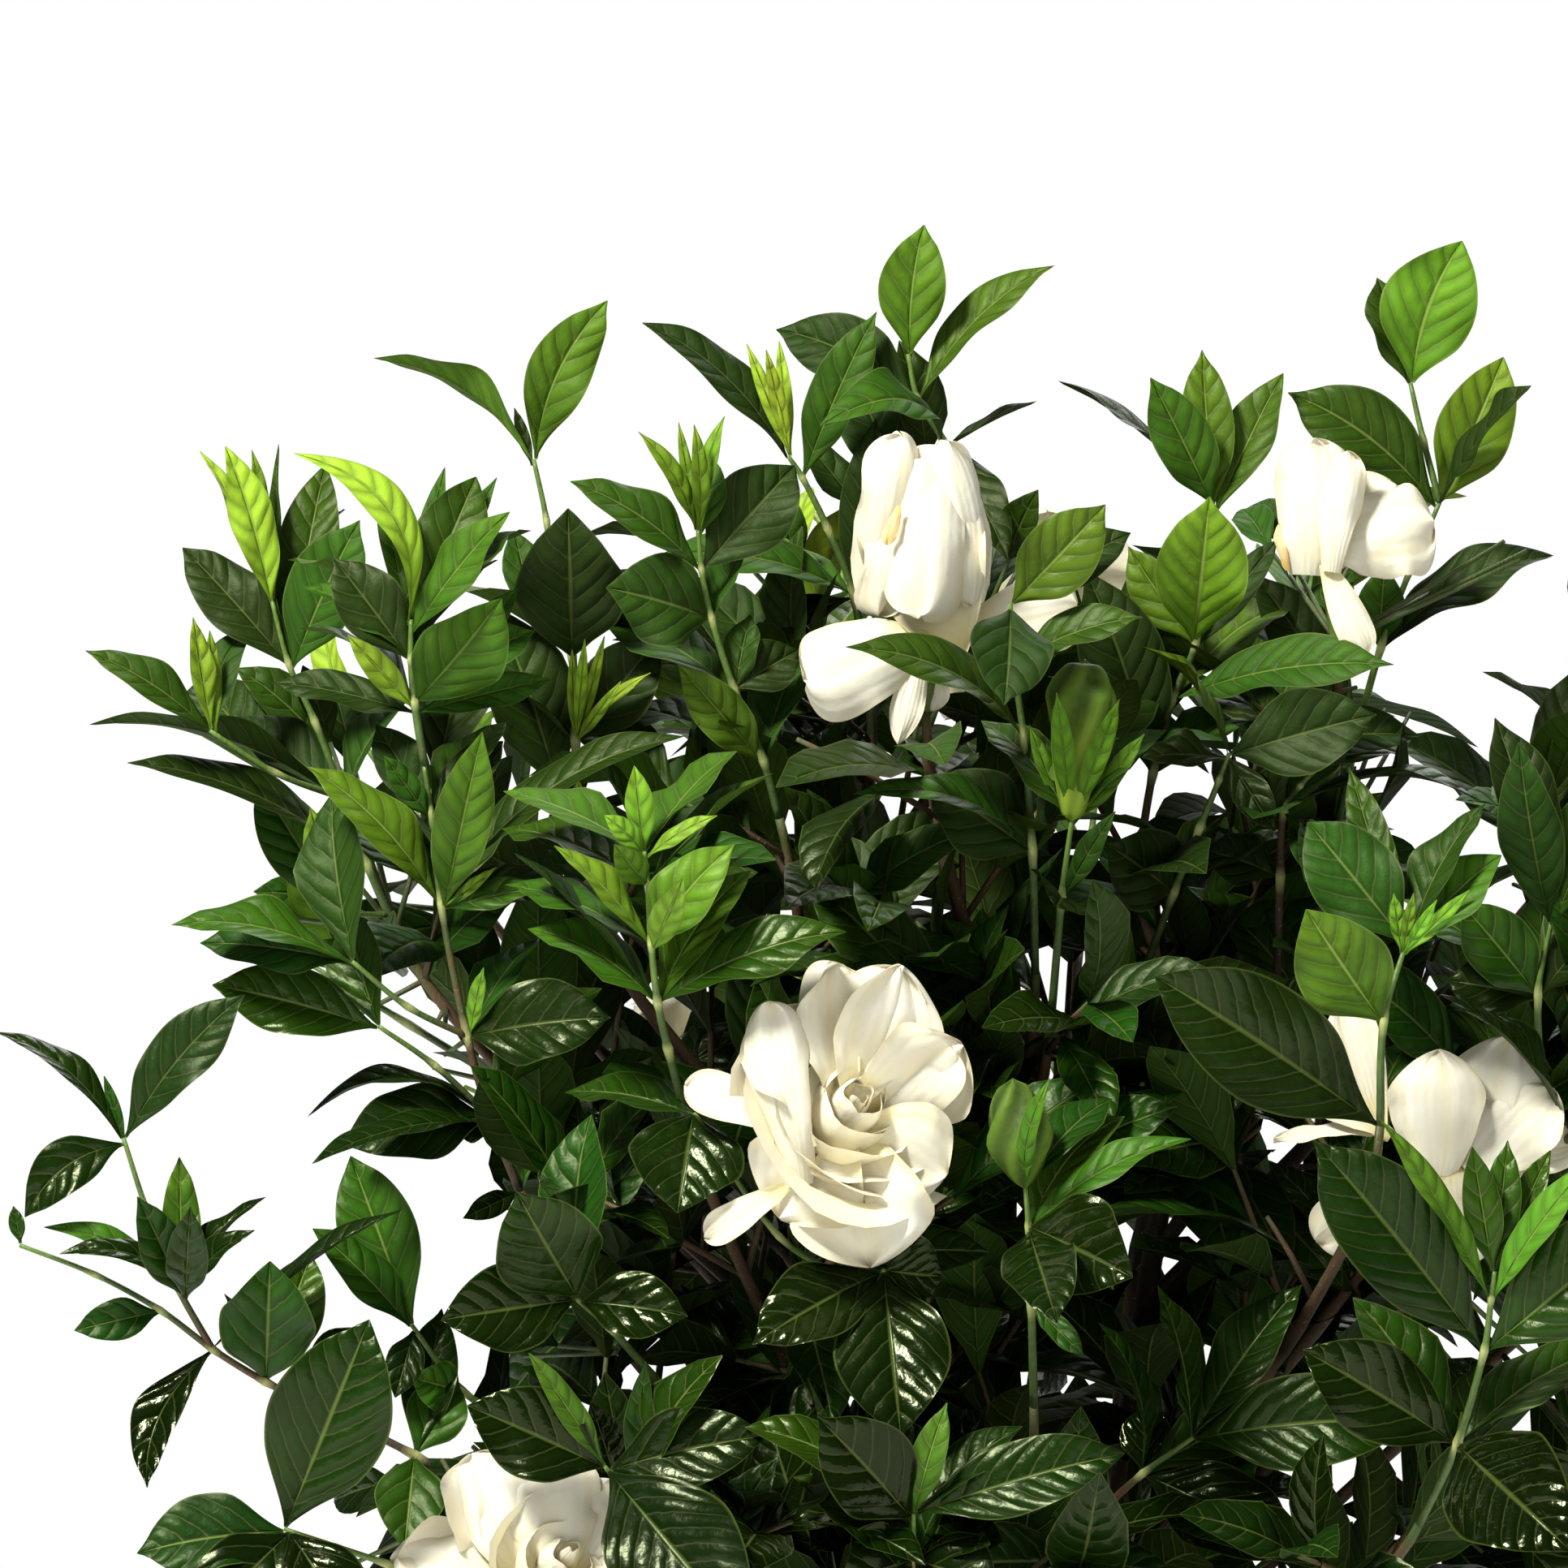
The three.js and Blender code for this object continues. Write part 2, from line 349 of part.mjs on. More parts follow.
// Triangles of a blade's upper face, from row to row
function bladeFaces(shape) {
  const step = shape.ribbed ? 3 : 2;
  const rows = [[0]];
  shape.stations.forEach((station, row) => {
    rows.push(Array.from({ length: step }, (unused, column) => 1 + row * step + column));
  });
  rows.push([1 + shape.stations.length * step]);
  const faces = [];
  for (let row = 0; row + 1 < rows.length; row += 1) {
    for (let column = 0; column + 1 < step; column += 1) {
      const [nearLeft, nearRight] = [rows[row][column] ?? rows[row][0], rows[row][column + 1] ?? rows[row][0]];
      const [farLeft, farRight] = [
        rows[row + 1][column] ?? rows[row + 1][0], rows[row + 1][column + 1] ?? rows[row + 1][0]];
      if (nearLeft !== nearRight) faces.push([nearRight, farRight, nearLeft]);
      if (farLeft !== farRight) faces.push([nearLeft, farRight, farLeft]);
    }
  }
  const rim = [...rows.map((row) => row.at(-1)), ...rows.slice(1, -1).reverse().map((row) => row[0])];
  return { faces, rim };
}

// Closed blade: the same triangles on both faces, and a rim between them. Without its root it starts at the
// first station.
function bladeGeometry(blade, grow = 0, withRoot = true) {
  const grown = grow ? { ...blade, width: blade.width + 2 * grow } : blade;
  const thickness = bladeThickness + 2 * grow;
  const points = bladePoints(grown);
  const count = points.length;
  const { faces, rim } = bladeFaces(blade.shape);
  const positions = [];
  for (const side of [0.5, -0.5]) {
    for (const point of points) {
      const moved = point.clone().addScaledVector(blade.normal, side * thickness);
      positions.push(moved.x, moved.y, moved.z);
    }
  }
  const kept = withRoot ? faces : faces.filter((face) => !face.includes(0));
  const index = kept.flat();
  for (const [a, b, c] of kept) index.push(a + count, c + count, b + count);
  rim.forEach((from, step) => {
    const to = rim[(step + 1) % rim.length];
    if (!withRoot && (from === 0 || to === 0)) return;
    index.push(to, from, from + count, to, from + count, to + count);
  });
  const geometry = new THREE.BufferGeometry();
  geometry.setAttribute('position', new THREE.Float32BufferAttribute(positions, 3));
  geometry.setIndex(index);
  return geometry;
}

// Path straight from point to point, with its steps at the points
class LimbPath extends THREE.Curve {
  constructor(points) {
    super();
    this.points = points;
  }

  getPoint(part) {
    const reach = part * (this.points.length - 1);
    const step = Math.min(Math.floor(reach), this.points.length - 2);
    return this.points[step].clone().lerp(this.points[step + 1], reach - step);
  }

  getPointAt(part) {
    return this.getPoint(part);
  }
}

function tubeGeometry(points, radius, sides = 4) {
  const section = new THREE.Shape();
  for (let side = 0; side < sides; side += 1) {
    const turn = (2 * Math.PI * (side + 0.5)) / sides;
    const corner = [radius * Math.cos(turn), radius * Math.sin(turn)];
    if (side === 0) section.moveTo(...corner);
    else section.lineTo(...corner);
  }
  section.closePath();
  const options = { steps: points.length - 1, extrudePath: new LimbPath(points), bevelEnabled: false };
  return new THREE.ExtrudeGeometry(section, options);
}

function solidOf(source) {
  const plain = source.clone();
  plain.deleteAttribute('normal');
  plain.deleteAttribute('uv');
  const merged = mergeVertices(plain, 1e-5);
  return new wasm.Manifold(new wasm.Mesh({
    numProp: 3,
    vertProperties: new Float32Array(merged.attributes.position.array),
    triVerts: new Uint32Array(merged.index.array),
  }));
}

function geometryOf(solid) {
  const mesh = solid.getMesh();
  const geometry = new THREE.BufferGeometry();
  geometry.setAttribute('position', new THREE.BufferAttribute(new Float32Array(mesh.vertProperties), 3));
  geometry.setIndex(new THREE.BufferAttribute(new Uint32Array(mesh.triVerts), 1));
  return geometry;
}

// Whether each edge is still shared by two triangles once near points are welded
const weld = 0.008;

function isSound(geometry) {
  const { array } = mergeVertices(geometry, weld).index;
  const shared = new Map();
  for (let corner = 0; corner < array.length; corner += 1) {
    const next = corner % 3 === 2 ? corner - 2 : corner + 1;
    const edge = [array[corner], array[next]].sort((a, b) => a - b).join();
    shared.set(edge, (shared.get(edge) ?? 0) + 1);
  }
  return [...shared.values()].every((count) => count === 2);
}

// Pieces fused into one body, trimmed of its finest slivers by the first slack that leaves it sound
const slacks = [0.05, 0.07, 0.1, 0.14, 0.2, 0.03, 0.26];

function joined(geometries) {
  const whole = geometries.map(solidOf).reduce((sum, piece) => sum.add(piece)).asOriginal();
  const trimmed = slacks.map((slack) => geometryOf(whole.simplify(slack)));
  return trimmed.find(isSound) ?? trimmed[0];
}

// What is already in place, as triangles with their node's name, so that later blades bend clear of it
const placed = [];

function trianglesOf(geometry) {
  const position = geometry.attributes.position;
  const corners = geometry.index ? geometry.index.array : [...Array(position.count).keys()];
  const triangles = [];
  for (let start = 0; start < corners.length; start += 3) {
    const indices = [corners[start], corners[start + 1], corners[start + 2]];
    triangles.push(indices.map((corner) => new THREE.Vector3().fromBufferAttribute(position, corner)));
  }
  return triangles;
}

function keepPlace(node, geometry) {
  const triangles = trianglesOf(geometry);
  placed.push({ node, triangles, box: new THREE.Box3().setFromPoints(triangles.flat()) });
}

const edgeRay = new THREE.Ray();
const hit = new THREE.Vector3();

function edgesCross(first, second) {
  for (const [a, b, c] of first) {
    for (const [from, to] of [[a, b], [b, c], [c, a]]) {
      edgeRay.origin.copy(from);
      edgeRay.direction.copy(to).sub(from);
      const reach = edgeRay.direction.length();
      edgeRay.direction.divideScalar(reach || 1);
      for (const [p, q, r] of second) {
        if (edgeRay.intersectTriangle(p, q, r, false, hit) && hit.distanceTo(from) <= reach) return true;
      }
    }
  }
  return false;
}

function meets(geometry, isTested) {
  const triangles = trianglesOf(geometry);
  const box = new THREE.Box3().setFromPoints(triangles.flat());
  return placed.some((piece) => isTested(piece) && piece.box.intersectsBox(box)
    && (edgesCross(triangles, piece.triangles) || edgesCross(piece.triangles, triangles)));
}

// The ways in which a leaf may bend to stay clear of its neighbours: [tip moved back, roll, tip moved up]
const bends = [
  [0, 0, 0], [-7, 0, 0], [7, 0, 0], [-14, 0, 0], [14, 0, 0], [-4, 15, 0], [4, -15, 0], [-22, 0, 0], [22, 0, 0],
  [-10, 20, 3], [10, -20, 3], [-10, -20, -3], [10, 20, -3], [-30, 0, 4], [30, 0, 4], [0, 30, 8], [0, -30, -8],
  [-20, 25, 10], [20, -25, 10], [-20, -25, -10], [20, 25, -10]];

const clearance = 0.9;

// A leaf takes the first bend that is clear of every other node and, past its root, of its own shoot, or else
// the first one that is clear of the other nodes
function chooseBend(node, bladeAt) {
  const clear = bends.map(bladeAt).filter((blade) => !meets(bladeGeometry(blade, clearance),
    (piece) => piece.node !== node));
  const apart = clear.find((blade) => !meets(bladeGeometry(blade, 0, false), (piece) => piece.node === node));
  return apart ?? clear[0] ?? null;
}

function shapeFor(length, width) {
  if (length < 50 || width < 18) return smallLeaf;
  return length > 74 ? longLeaf : leafShape;
}

// Leaves at one node sit on the twig's skin, each pair a little below the one before it
const pairStep = 1.8;
const rootOut = 0.7;

function rootOf(nodes, node, order, tip) {
  const { point, heading } = nodes[node];
  const base = point.clone().addScaledVector(heading, -pairStep * Math.floor(order / 2));
  const aside = tip.clone().sub(base);
  aside.addScaledVector(heading, -aside.dot(heading)).normalize();
  return base.addScaledVector(aside, rootOut);
}

function shootBlade(nodes, leaf, order, bend) {
  const [node, across, down, width, lean, roll, arch, , sway] = leaf;
  const tip = place(across, nodes[node].point.y + lean + bend[0], down - bend[2]);
  const base = rootOf(nodes, node, order, tip);
  const along = tip.clone().sub(base);
  const length = along.length();
  along.normalize();
  return {
    base, tip, width, arch, sway, fold: width < 8 ? 0.1 : 0.24,
    normal: facingNormal(along, roll + bend[1]), shape: shapeFor(length, width),
  };
}

// Whether a point, seen from the front, lies on the crown's outline and off its openings
function insideOutline(point) {
  const across = point.x + axisAcross;
  const down = datumHeight - point.z;
  let inside = false;
  outline.forEach(([ax, ay], corner) => {
    const [bx, by] = outline.at(corner - 1);
    if ((ay > down) !== (by > down) && across < ((bx - ax) * (down - ay)) / (by - ay) + ax) inside = !inside;
  });
  return inside && !openings.some(([cx, cy, radius]) => Math.hypot(across - cx, down - cy) < radius);
}

// Shoots of the crown's other sides: spread evenly over it by the golden angle, left out where the front
// shoots stand, and drawn in until they lie on the outline
const hiddenCount = 26;
const goldenTurn = 137.508;

function hiddenShoots() {
  const list = [];
  for (let count = 0; count < hiddenCount; count += 1) {
    const random = randomFrom(1000 + count);
    const level = 0.95 - (1.42 * (count + 0.5)) / hiddenCount;
    const turn = THREE.MathUtils.degToRad(count * goldenTurn + 20 * (random() - 0.5));
    const ring = Math.sqrt(1 - level * level);
    const way = new THREE.Vector3(ring * Math.cos(turn), ring * Math.sin(turn), level);
    const heading = way.clone();
    heading.z += 0.55 + 0.3 * random();
    heading.normalize();
    const length = 74 + 14 * random();
    for (let reach = 1; reach > 0.6; reach -= 0.08) {
      const tip = new THREE.Vector3(
        way.x * reach * crownRadii[0], way.y * crownRadii[1], crownMiddle + way.z * reach * crownRadii[2]);
      const start = tip.clone().addScaledVector(heading, -length);
      if (tip.y < 30 && tip.x < 190) break;
      if (!insideOutline(tip.clone().addScaledVector(heading, 14)) || !insideOutline(start)) continue;
      const name = `shoot_other_${String(count + 1).padStart(2, '0')}`;
      list.push({ name, start, tip, heading, length, random });
      break;
    }
  }
  return list;
}

// Leaf pairs of such a shoot, each pair at right angles to the one below it and smaller towards the tip:
// part of the twig's length, leaf length, width and angle off the twig
const pairs = [[0.16, 60, 26, 74], [0.45, 58, 25, 62], [0.74, 50, 22, 50], [0.97, 34, 12, 28]];

function hiddenLeaves({ start, heading, length, random }) {
  const sideways = heading.clone().cross(new THREE.Vector3(0.3, 0.2, 1)).normalize();
  const upward = sideways.clone().cross(heading);
  const firstTurn = 6.283 * random();
  const leaves = [];
  pairs.forEach(([part, size, width, opening], pair) => {
    for (const side of [0, Math.PI]) {
      const turn = firstTurn + pair * 1.5708 + side + 0.5 * (random() - 0.5);
      const aside = sideways.clone().multiplyScalar(Math.cos(turn)).addScaledVector(upward, Math.sin(turn));
      const base = start.clone().addScaledVector(heading, part * length).addScaledVector(aside, rootOut);
      leaves.push({
        base, aside, size: size * (0.85 + 0.3 * random()), width: width * (0.9 + 0.2 * random()),
        tilt: opening + 16 * (random() - 0.5), roll: 24 * (random() - 0.5), arch: 0.04 + 0.08 * random(),
      });
    }
  });
  return leaves;
}

function hiddenBlade(shoot, leaf, bend) {
  const tilt = THREE.MathUtils.degToRad(leaf.tilt + bend[0]);
  const along = shoot.heading.clone().multiplyScalar(Math.cos(tilt));
  along.addScaledVector(leaf.aside, Math.sin(tilt));
  along.z += 0.02 * bend[2];
  along.normalize();
  const normal = shoot.heading.clone();
  normal.z += 0.5;
  normal.addScaledVector(along, -normal.dot(along)).normalize();
  normal.applyAxisAngle(along, THREE.MathUtils.degToRad(leaf.roll + bend[1]));
  return {
    base: leaf.base, tip: leaf.base.clone().addScaledVector(along, leaf.size), width: leaf.width,
    arch: leaf.arch, fold: 0.24, normal, shape: shapeFor(leaf.size, leaf.width),
  };
}

// Inner face of a petal: towards the bloom's axis where it stands up, along the axis where it lies out.
// Every petal turns the same way, so each laps over its neighbour.
const petalTwist = THREE.MathUtils.degToRad(15);

function cuppedPetal(core, axis, size, tip, width, arch) {
  const along = tip.clone().sub(core).normalize();
  const tilt = along.angleTo(axis);
  const out = along.clone().addScaledVector(axis, -Math.cos(tilt)).normalize();
  const normal = axis.clone().multiplyScalar(Math.sin(tilt)).addScaledVector(out, -Math.cos(tilt));
  normal.applyAxisAngle(along, petalTwist);
  const base = core.clone().addScaledVector(along, 0.5 * size);
  return { base, tip, width, arch, fold: 0.3, normal, shape: petalShape };
}

function frontPetals(bloom) {
  const core = place(...bloom.core);
  const axis = new THREE.Vector3(...bloom.axis).normalize();
  const tipAt = (across, down, lean) => place(across, core.y + lean, down);
  const petals = bloom.cupped.map(([across, down, lean, width, arch]) => (
    cuppedPetal(core, axis, bloom.size, tipAt(across, down, lean), width, arch)));
  for (const [across, down, lean, width, arch, roll] of bloom.open) {
    const tip = tipAt(across, down, lean);
    const along = tip.clone().sub(core).normalize();
    const base = core.clone().addScaledVector(along, 0.5 * bloom.size);
    petals.push({ base, tip, width, arch, fold: 0.2, normal: facingNormal(along, roll), shape: petalShape });
  }
  return { core, axis, size: bloom.size, petals };
}

function otherPetals(bloom, seed) {
  const random = randomFrom(seed);
  const turn = THREE.MathUtils.degToRad(bloom.turn);
  const core = new THREE.Vector3(bloom.reach * Math.cos(turn), bloom.reach * Math.sin(turn), bloom.height);
  const axis = new THREE.Vector3(Math.cos(turn), Math.sin(turn), bloom.rise).normalize();
  const right = new THREE.Vector3(0, 0, 1).cross(axis).normalize();
  const up = axis.clone().cross(right);
  const petals = [];
  for (const layer of bloomLayers) {
    const first = 6.283 * random();
    for (let petal = 0; petal < layer.count; petal += 1) {
      const round = first + (6.283 * petal) / layer.count + 0.2 * (random() - 0.5);
      const tilt = THREE.MathUtils.degToRad(layer.tilt + 8 * (random() - 0.5));
      const out = right.clone().multiplyScalar(Math.cos(round)).addScaledVector(up, Math.sin(round));
      const along = axis.clone().multiplyScalar(Math.cos(tilt)).addScaledVector(out, Math.sin(tilt));
      const length = layer.length * bloom.scale * (0.93 + 0.14 * random());
      const tip = core.clone().addScaledVector(along, length);
      petals.push(cuppedPetal(core, axis, bloomSize, tip, layer.width * bloom.scale, layer.arch));
    }
  }
  return { core, axis, size: bloomSize, petals };
}

// Materials
const finish = (colour, roughness) => new THREE.MeshStandardMaterial({ color: colour, roughness, metalness: 0 });
const leafMaterial = finish(0x2c5a1e, 0.35);
const petalMaterial = finish(0xf4f0dd, 0.6);
const barkMaterial = finish(0x4a3424, 0.85);
const soilMaterial = finish(0x2e2118, 0.95);
const clayMaterial = finish(0xb5694a, 0.8);

const plant = new THREE.Group();

function addNode(name, geometry, material) {
  const mesh = new THREE.Mesh(geometry, material);
  mesh.name = name;
  plant.add(mesh);
}

// Pot: a plain cone with a rim band, open at the top
const wallSlope = (potTopRadius - potFootRadius) / potHeight;
const wallAt = (height) => potFootRadius + wallSlope * height;

function potProfile() {
  const bandFoot = potHeight - rimHeight;
  return [
    [0, 0], [potFootRadius - 3, 0], [wallAt(4), 4], [wallAt(bandFoot), bandFoot],
    [wallAt(bandFoot) + rimOverhang, bandFoot + 3], [potTopRadius + rimOverhang, potHeight - 3],
    [potTopRadius + rimOverhang - 3, potHeight], [potTopRadius - potWall, potHeight - 2],
    [wallAt(potFloor + 8) - potWall, potFloor + 8], [wallAt(potFloor) - potWall - 8, potFloor], [0, potFloor]];
}

function lathe(profile, sides) {
  const geometry = new THREE.LatheGeometry(profile.map(([x, y]) => new THREE.Vector2(x, y)), sides);
  return geometry.rotateX(Math.PI / 2);
}

const drainHoles = 4;
const drainRing = 62;
const drainRadius = 6;
let potSolid = solidOf(lathe(potProfile(), potSides));
for (let hole = 0; hole < drainHoles; hole += 1) {
  const turn = (2 * Math.PI * hole) / drainHoles;
  const bore = new THREE.CylinderGeometry(drainRadius, drainRadius, 4 * potFloor, 6).rotateX(Math.PI / 2);
  bore.translate(drainRing * Math.cos(turn), drainRing * Math.sin(turn), 0);
  potSolid = potSolid.subtract(solidOf(bore));
}
addNode('pot', geometryOf(potSolid), clayMaterial);

// Woody stems: each stands in its own hole in the soil, inside its own sixth of the crown, and sends a branch
// to each shoot that stands in that sixth
const stemCount = 6;
const soilLevel = potHeight - soilBelowRim;
const stemFoot = soilLevel - 42;

function sixthOf(point) {
  const part = Math.atan2(point.y, point.x) / (2 * Math.PI);
  return Math.floor((part < 0 ? part + 1 : part) * stemCount);
}

function stemPoint(stem, height) {
  const turn = (2 * Math.PI * (stem + 0.5)) / stemCount;
  const part = Math.max((height - soilLevel) / (stemTop - soilLevel), 0);
  const radius = stemRing + stemSpread * part * part + 2.5 * Math.sin(6 * part + stem) * part;
  const swing = turn + 0.1 * Math.sin(4 * part + 2 * stem) * part;
  return new THREE.Vector3(radius * Math.cos(swing), radius * Math.sin(swing), height);
}

function trunkGeometry(stem) {
  const height = stemTop - stemFoot;
  const trunk = new THREE.CylinderGeometry(stemTopRadius, stemRadius, height, 6, 5).rotateX(Math.PI / 2);
  trunk.translate(0, 0, stemFoot + height / 2);
  const position = trunk.attributes.position;
  for (let corner = 0; corner < position.count; corner += 1) {
    const { x, y } = stemPoint(stem, position.getZ(corner));
    position.setXY(corner, position.getX(corner) + x, position.getY(corner) + y);
  }
  return trunk;
}

function branchGeometry(stem, start, heading, radius = branchRadius) {
  const reach = Math.hypot(start.x, start.y);
  const fork = THREE.MathUtils.clamp(start.z - 0.7 * reach - 12, soilLevel + 24, stemTop - 1);
  const from = stemPoint(stem, fork);
  const end = start.clone().addScaledVector(heading, -jointGap);
  const before = end.clone().addScaledVector(heading, -Math.min(34, 0.34 * end.distanceTo(from)));
  return tubeGeometry([from, before, end], radius);
}

let soilSolid = solidOf(lathe([
  [0, potFloor + soilGap], [wallAt(potFloor) - potWall - 9, potFloor + soilGap],
  [wallAt(potFloor + 9) - potWall - soilGap, potFloor + 9], [wallAt(soilLevel) - potWall - soilGap, soilLevel],
  [0.6 * potTopRadius, soilLevel + 4], [0, soilLevel + 6]], potSides));
for (let stem = 0; stem < stemCount; stem += 1) {
  const { x, y } = stemPoint(stem, soilLevel);
  const radius = stemRadius + holeGap;
  const hole = new THREE.CylinderGeometry(radius, radius, 60, 6).rotateX(Math.PI / 2);
  hole.translate(x, y, stemFoot - holeGap + 30);
  soilSolid = soilSolid.subtract(solidOf(hole));
}
addNode('soil', geometryOf(soilSolid), soilMaterial);

// Front shoots' own twigs and buds
function twigNodes(points) {
  return points.map((point, step) => {
    const heading = point.clone().sub(points[step - 1] ?? points[1]);
    return { point, heading: (step ? heading : heading.negate()).normalize() };
  });
}

function budGeometry(base, top, width) {
  const length = top.distanceTo(base);
  const profile = [[0, -1], [0.2, 2], [0.5, 0.34 * length], [0.32, 0.7 * length], [0, length]];
  const bud = new THREE.LatheGeometry(profile.map(([r, h]) => new THREE.Vector2(r * width, h)), 7);
  const way = top.clone().sub(base).normalize();
  bud.applyQuaternion(new THREE.Quaternion().setFromUnitVectors(new THREE.Vector3(0, 1, 0), way));
  return bud.translate(base.x, base.y, base.z);
}

const frontShoots = shoots.map((shoot) => {
  const twigs = shoot.twigs.map((points) => points.map((point) => place(...point)));
  const nodes = twigs.flatMap(twigNodes);
  const pieces = twigs.map((points, twig) => tubeGeometry(points, twig ? 0.85 * twigRadius : twigRadius));
  if (shoot.bud) {
    const [node, across, down, width] = shoot.bud;
    const base = nodes[node].point;
    pieces.push(budGeometry(base, place(across, base.y - 2, down), width));
  }
  for (const piece of pieces) keepPlace(shoot.name, piece);
  return { shoot, nodes, pieces };
});

// Blooms, each on a calyx that reaches back from its core to a branch
const calyxLength = 16;
const calyxFoot = 2.4;
const stalks = [];

function addBloom(name, { core, axis, size, petals }) {
  const heart = new THREE.IcosahedronGeometry(size, 0).translate(core.x, core.y, core.z);
  const calyx = new THREE.CylinderGeometry(0.7 * size, calyxFoot, calyxLength, 6);
  calyx.translate(0, -calyxLength / 2, 0);
  calyx.applyQuaternion(new THREE.Quaternion().setFromUnitVectors(new THREE.Vector3(0, 1, 0), axis));
  calyx.translate(core.x, core.y, core.z);
  const geometry = joined([heart, calyx, ...petals.map((petal) => bladeGeometry(petal))]);
  keepPlace(name, geometry);
  addNode(name, geometry, petalMaterial);
  stalks.push({ start: core.clone().addScaledVector(axis, -calyxLength), heading: axis });
}

for (const bloom of blooms) addBloom(bloom.name, frontPetals(bloom));
otherBlooms.forEach((bloom, count) => addBloom(bloom.name, otherPetals(bloom, 500 + count)));

// Wood for the front shoots, then for as many others as find a clear way
const stems = Array.from({ length: stemCount }, (unused, stem) => {
  const name = `woody_stem_${stem + 1}`;
  const trunk = trunkGeometry(stem);
  keepPlace(name, trunk);
  return { name, pieces: [trunk] };
});

function addBranch(start, heading) {
  const stem = sixthOf(start);
  const branch = branchGeometry(stem, start, heading);
  stems[stem].pieces.push(branch);
  keepPlace(stems[stem].name, branch);
}

for (const { shoot, nodes } of frontShoots) {
  if (!shoot.grownOn) addBranch(nodes[0].point, nodes[0].heading);
}
for (const { start, heading } of stalks) addBranch(start, heading);

const otherShoots = [];
for (const shoot of hiddenShoots()) {
  const stem = sixthOf(shoot.start);
  const { name } = stems[stem];
  const wide = branchGeometry(stem, shoot.start, shoot.heading, branchRadius + clearance);
  const twig = tubeGeometry([shoot.start, shoot.tip], twigRadius);
  const wideTwig = tubeGeometry([shoot.start, shoot.tip], twigRadius + clearance);
  if (meets(wide, (piece) => piece.node !== name) || meets(wideTwig, () => true)) continue;
  addBranch(shoot.start, shoot.heading);
  keepPlace(shoot.name, twig);
  otherShoots.push({ shoot, pieces: [twig] });
}

for (const { name, pieces } of stems) addNode(name, joined(pieces), barkMaterial);

// Leaves of the front shoots, then of the others. Sprouts narrower than this are too fine to model here.
const sproutWidth = 5.5;
for (const { shoot, nodes, pieces } of frontShoots) {
  const filled = new Map();
  shoot.leaves.forEach((leaf) => {
    if (leaf[3] < sproutWidth) return;
    const order = filled.get(leaf[0]) ?? 0;
    filled.set(leaf[0], order + 1);
    const blade = chooseBend(shoot.name, (bend) => shootBlade(nodes, leaf, order, bend));
    if (!blade) return;
    const geometry = bladeGeometry(blade);
    keepPlace(shoot.name, geometry);
    pieces.push(geometry);
  });
  addNode(shoot.name, joined(pieces), leafMaterial);
}

for (const { shoot, pieces } of otherShoots) {
  for (const leaf of hiddenLeaves(shoot)) {
    const blade = chooseBend(shoot.name, (bend) => hiddenBlade(shoot, leaf, bend));
    if (!blade || !bladePoints(blade).every(insideOutline)) continue;
    const geometry = bladeGeometry(blade);
    keepPlace(shoot.name, geometry);
    pieces.push(geometry);
  }
  addNode(shoot.name, joined(pieces), leafMaterial);
}

export default plant;
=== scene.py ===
import math

import bmesh
import bpy
from mathutils import Matrix, Quaternion, Vector, geometry, noise
from mathutils.kdtree import KDTree


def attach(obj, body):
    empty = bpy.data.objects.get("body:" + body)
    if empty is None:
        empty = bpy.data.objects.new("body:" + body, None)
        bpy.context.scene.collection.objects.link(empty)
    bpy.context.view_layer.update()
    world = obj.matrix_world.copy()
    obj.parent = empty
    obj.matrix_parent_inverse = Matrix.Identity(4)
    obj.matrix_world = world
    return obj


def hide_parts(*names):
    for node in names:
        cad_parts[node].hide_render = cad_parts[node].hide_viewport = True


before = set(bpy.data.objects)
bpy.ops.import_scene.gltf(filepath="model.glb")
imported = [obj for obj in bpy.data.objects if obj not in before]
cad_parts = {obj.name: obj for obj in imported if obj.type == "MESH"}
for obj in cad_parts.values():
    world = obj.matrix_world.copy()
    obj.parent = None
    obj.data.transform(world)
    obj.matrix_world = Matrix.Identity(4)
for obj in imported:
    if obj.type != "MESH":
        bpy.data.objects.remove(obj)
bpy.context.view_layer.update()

# Shapes are worked out in millimetres and made metres when a piece is finished
mm = 0.001
skyward = Vector((0, 0, 1))

# The crown's two datum planes, its middle and how far it reaches from there
crown = {"axisAcross": 307.5, "datumHeight": 782.5, "middle": 486, "radii": (286, 236, 214)}
wholeTurn, quarterTurn = 6.283, 1.5708    # radians, as in the part's source


def place(across, depth, down):
    return Vector((across - crown["axisAcross"], depth, crown["datumHeight"] - down))


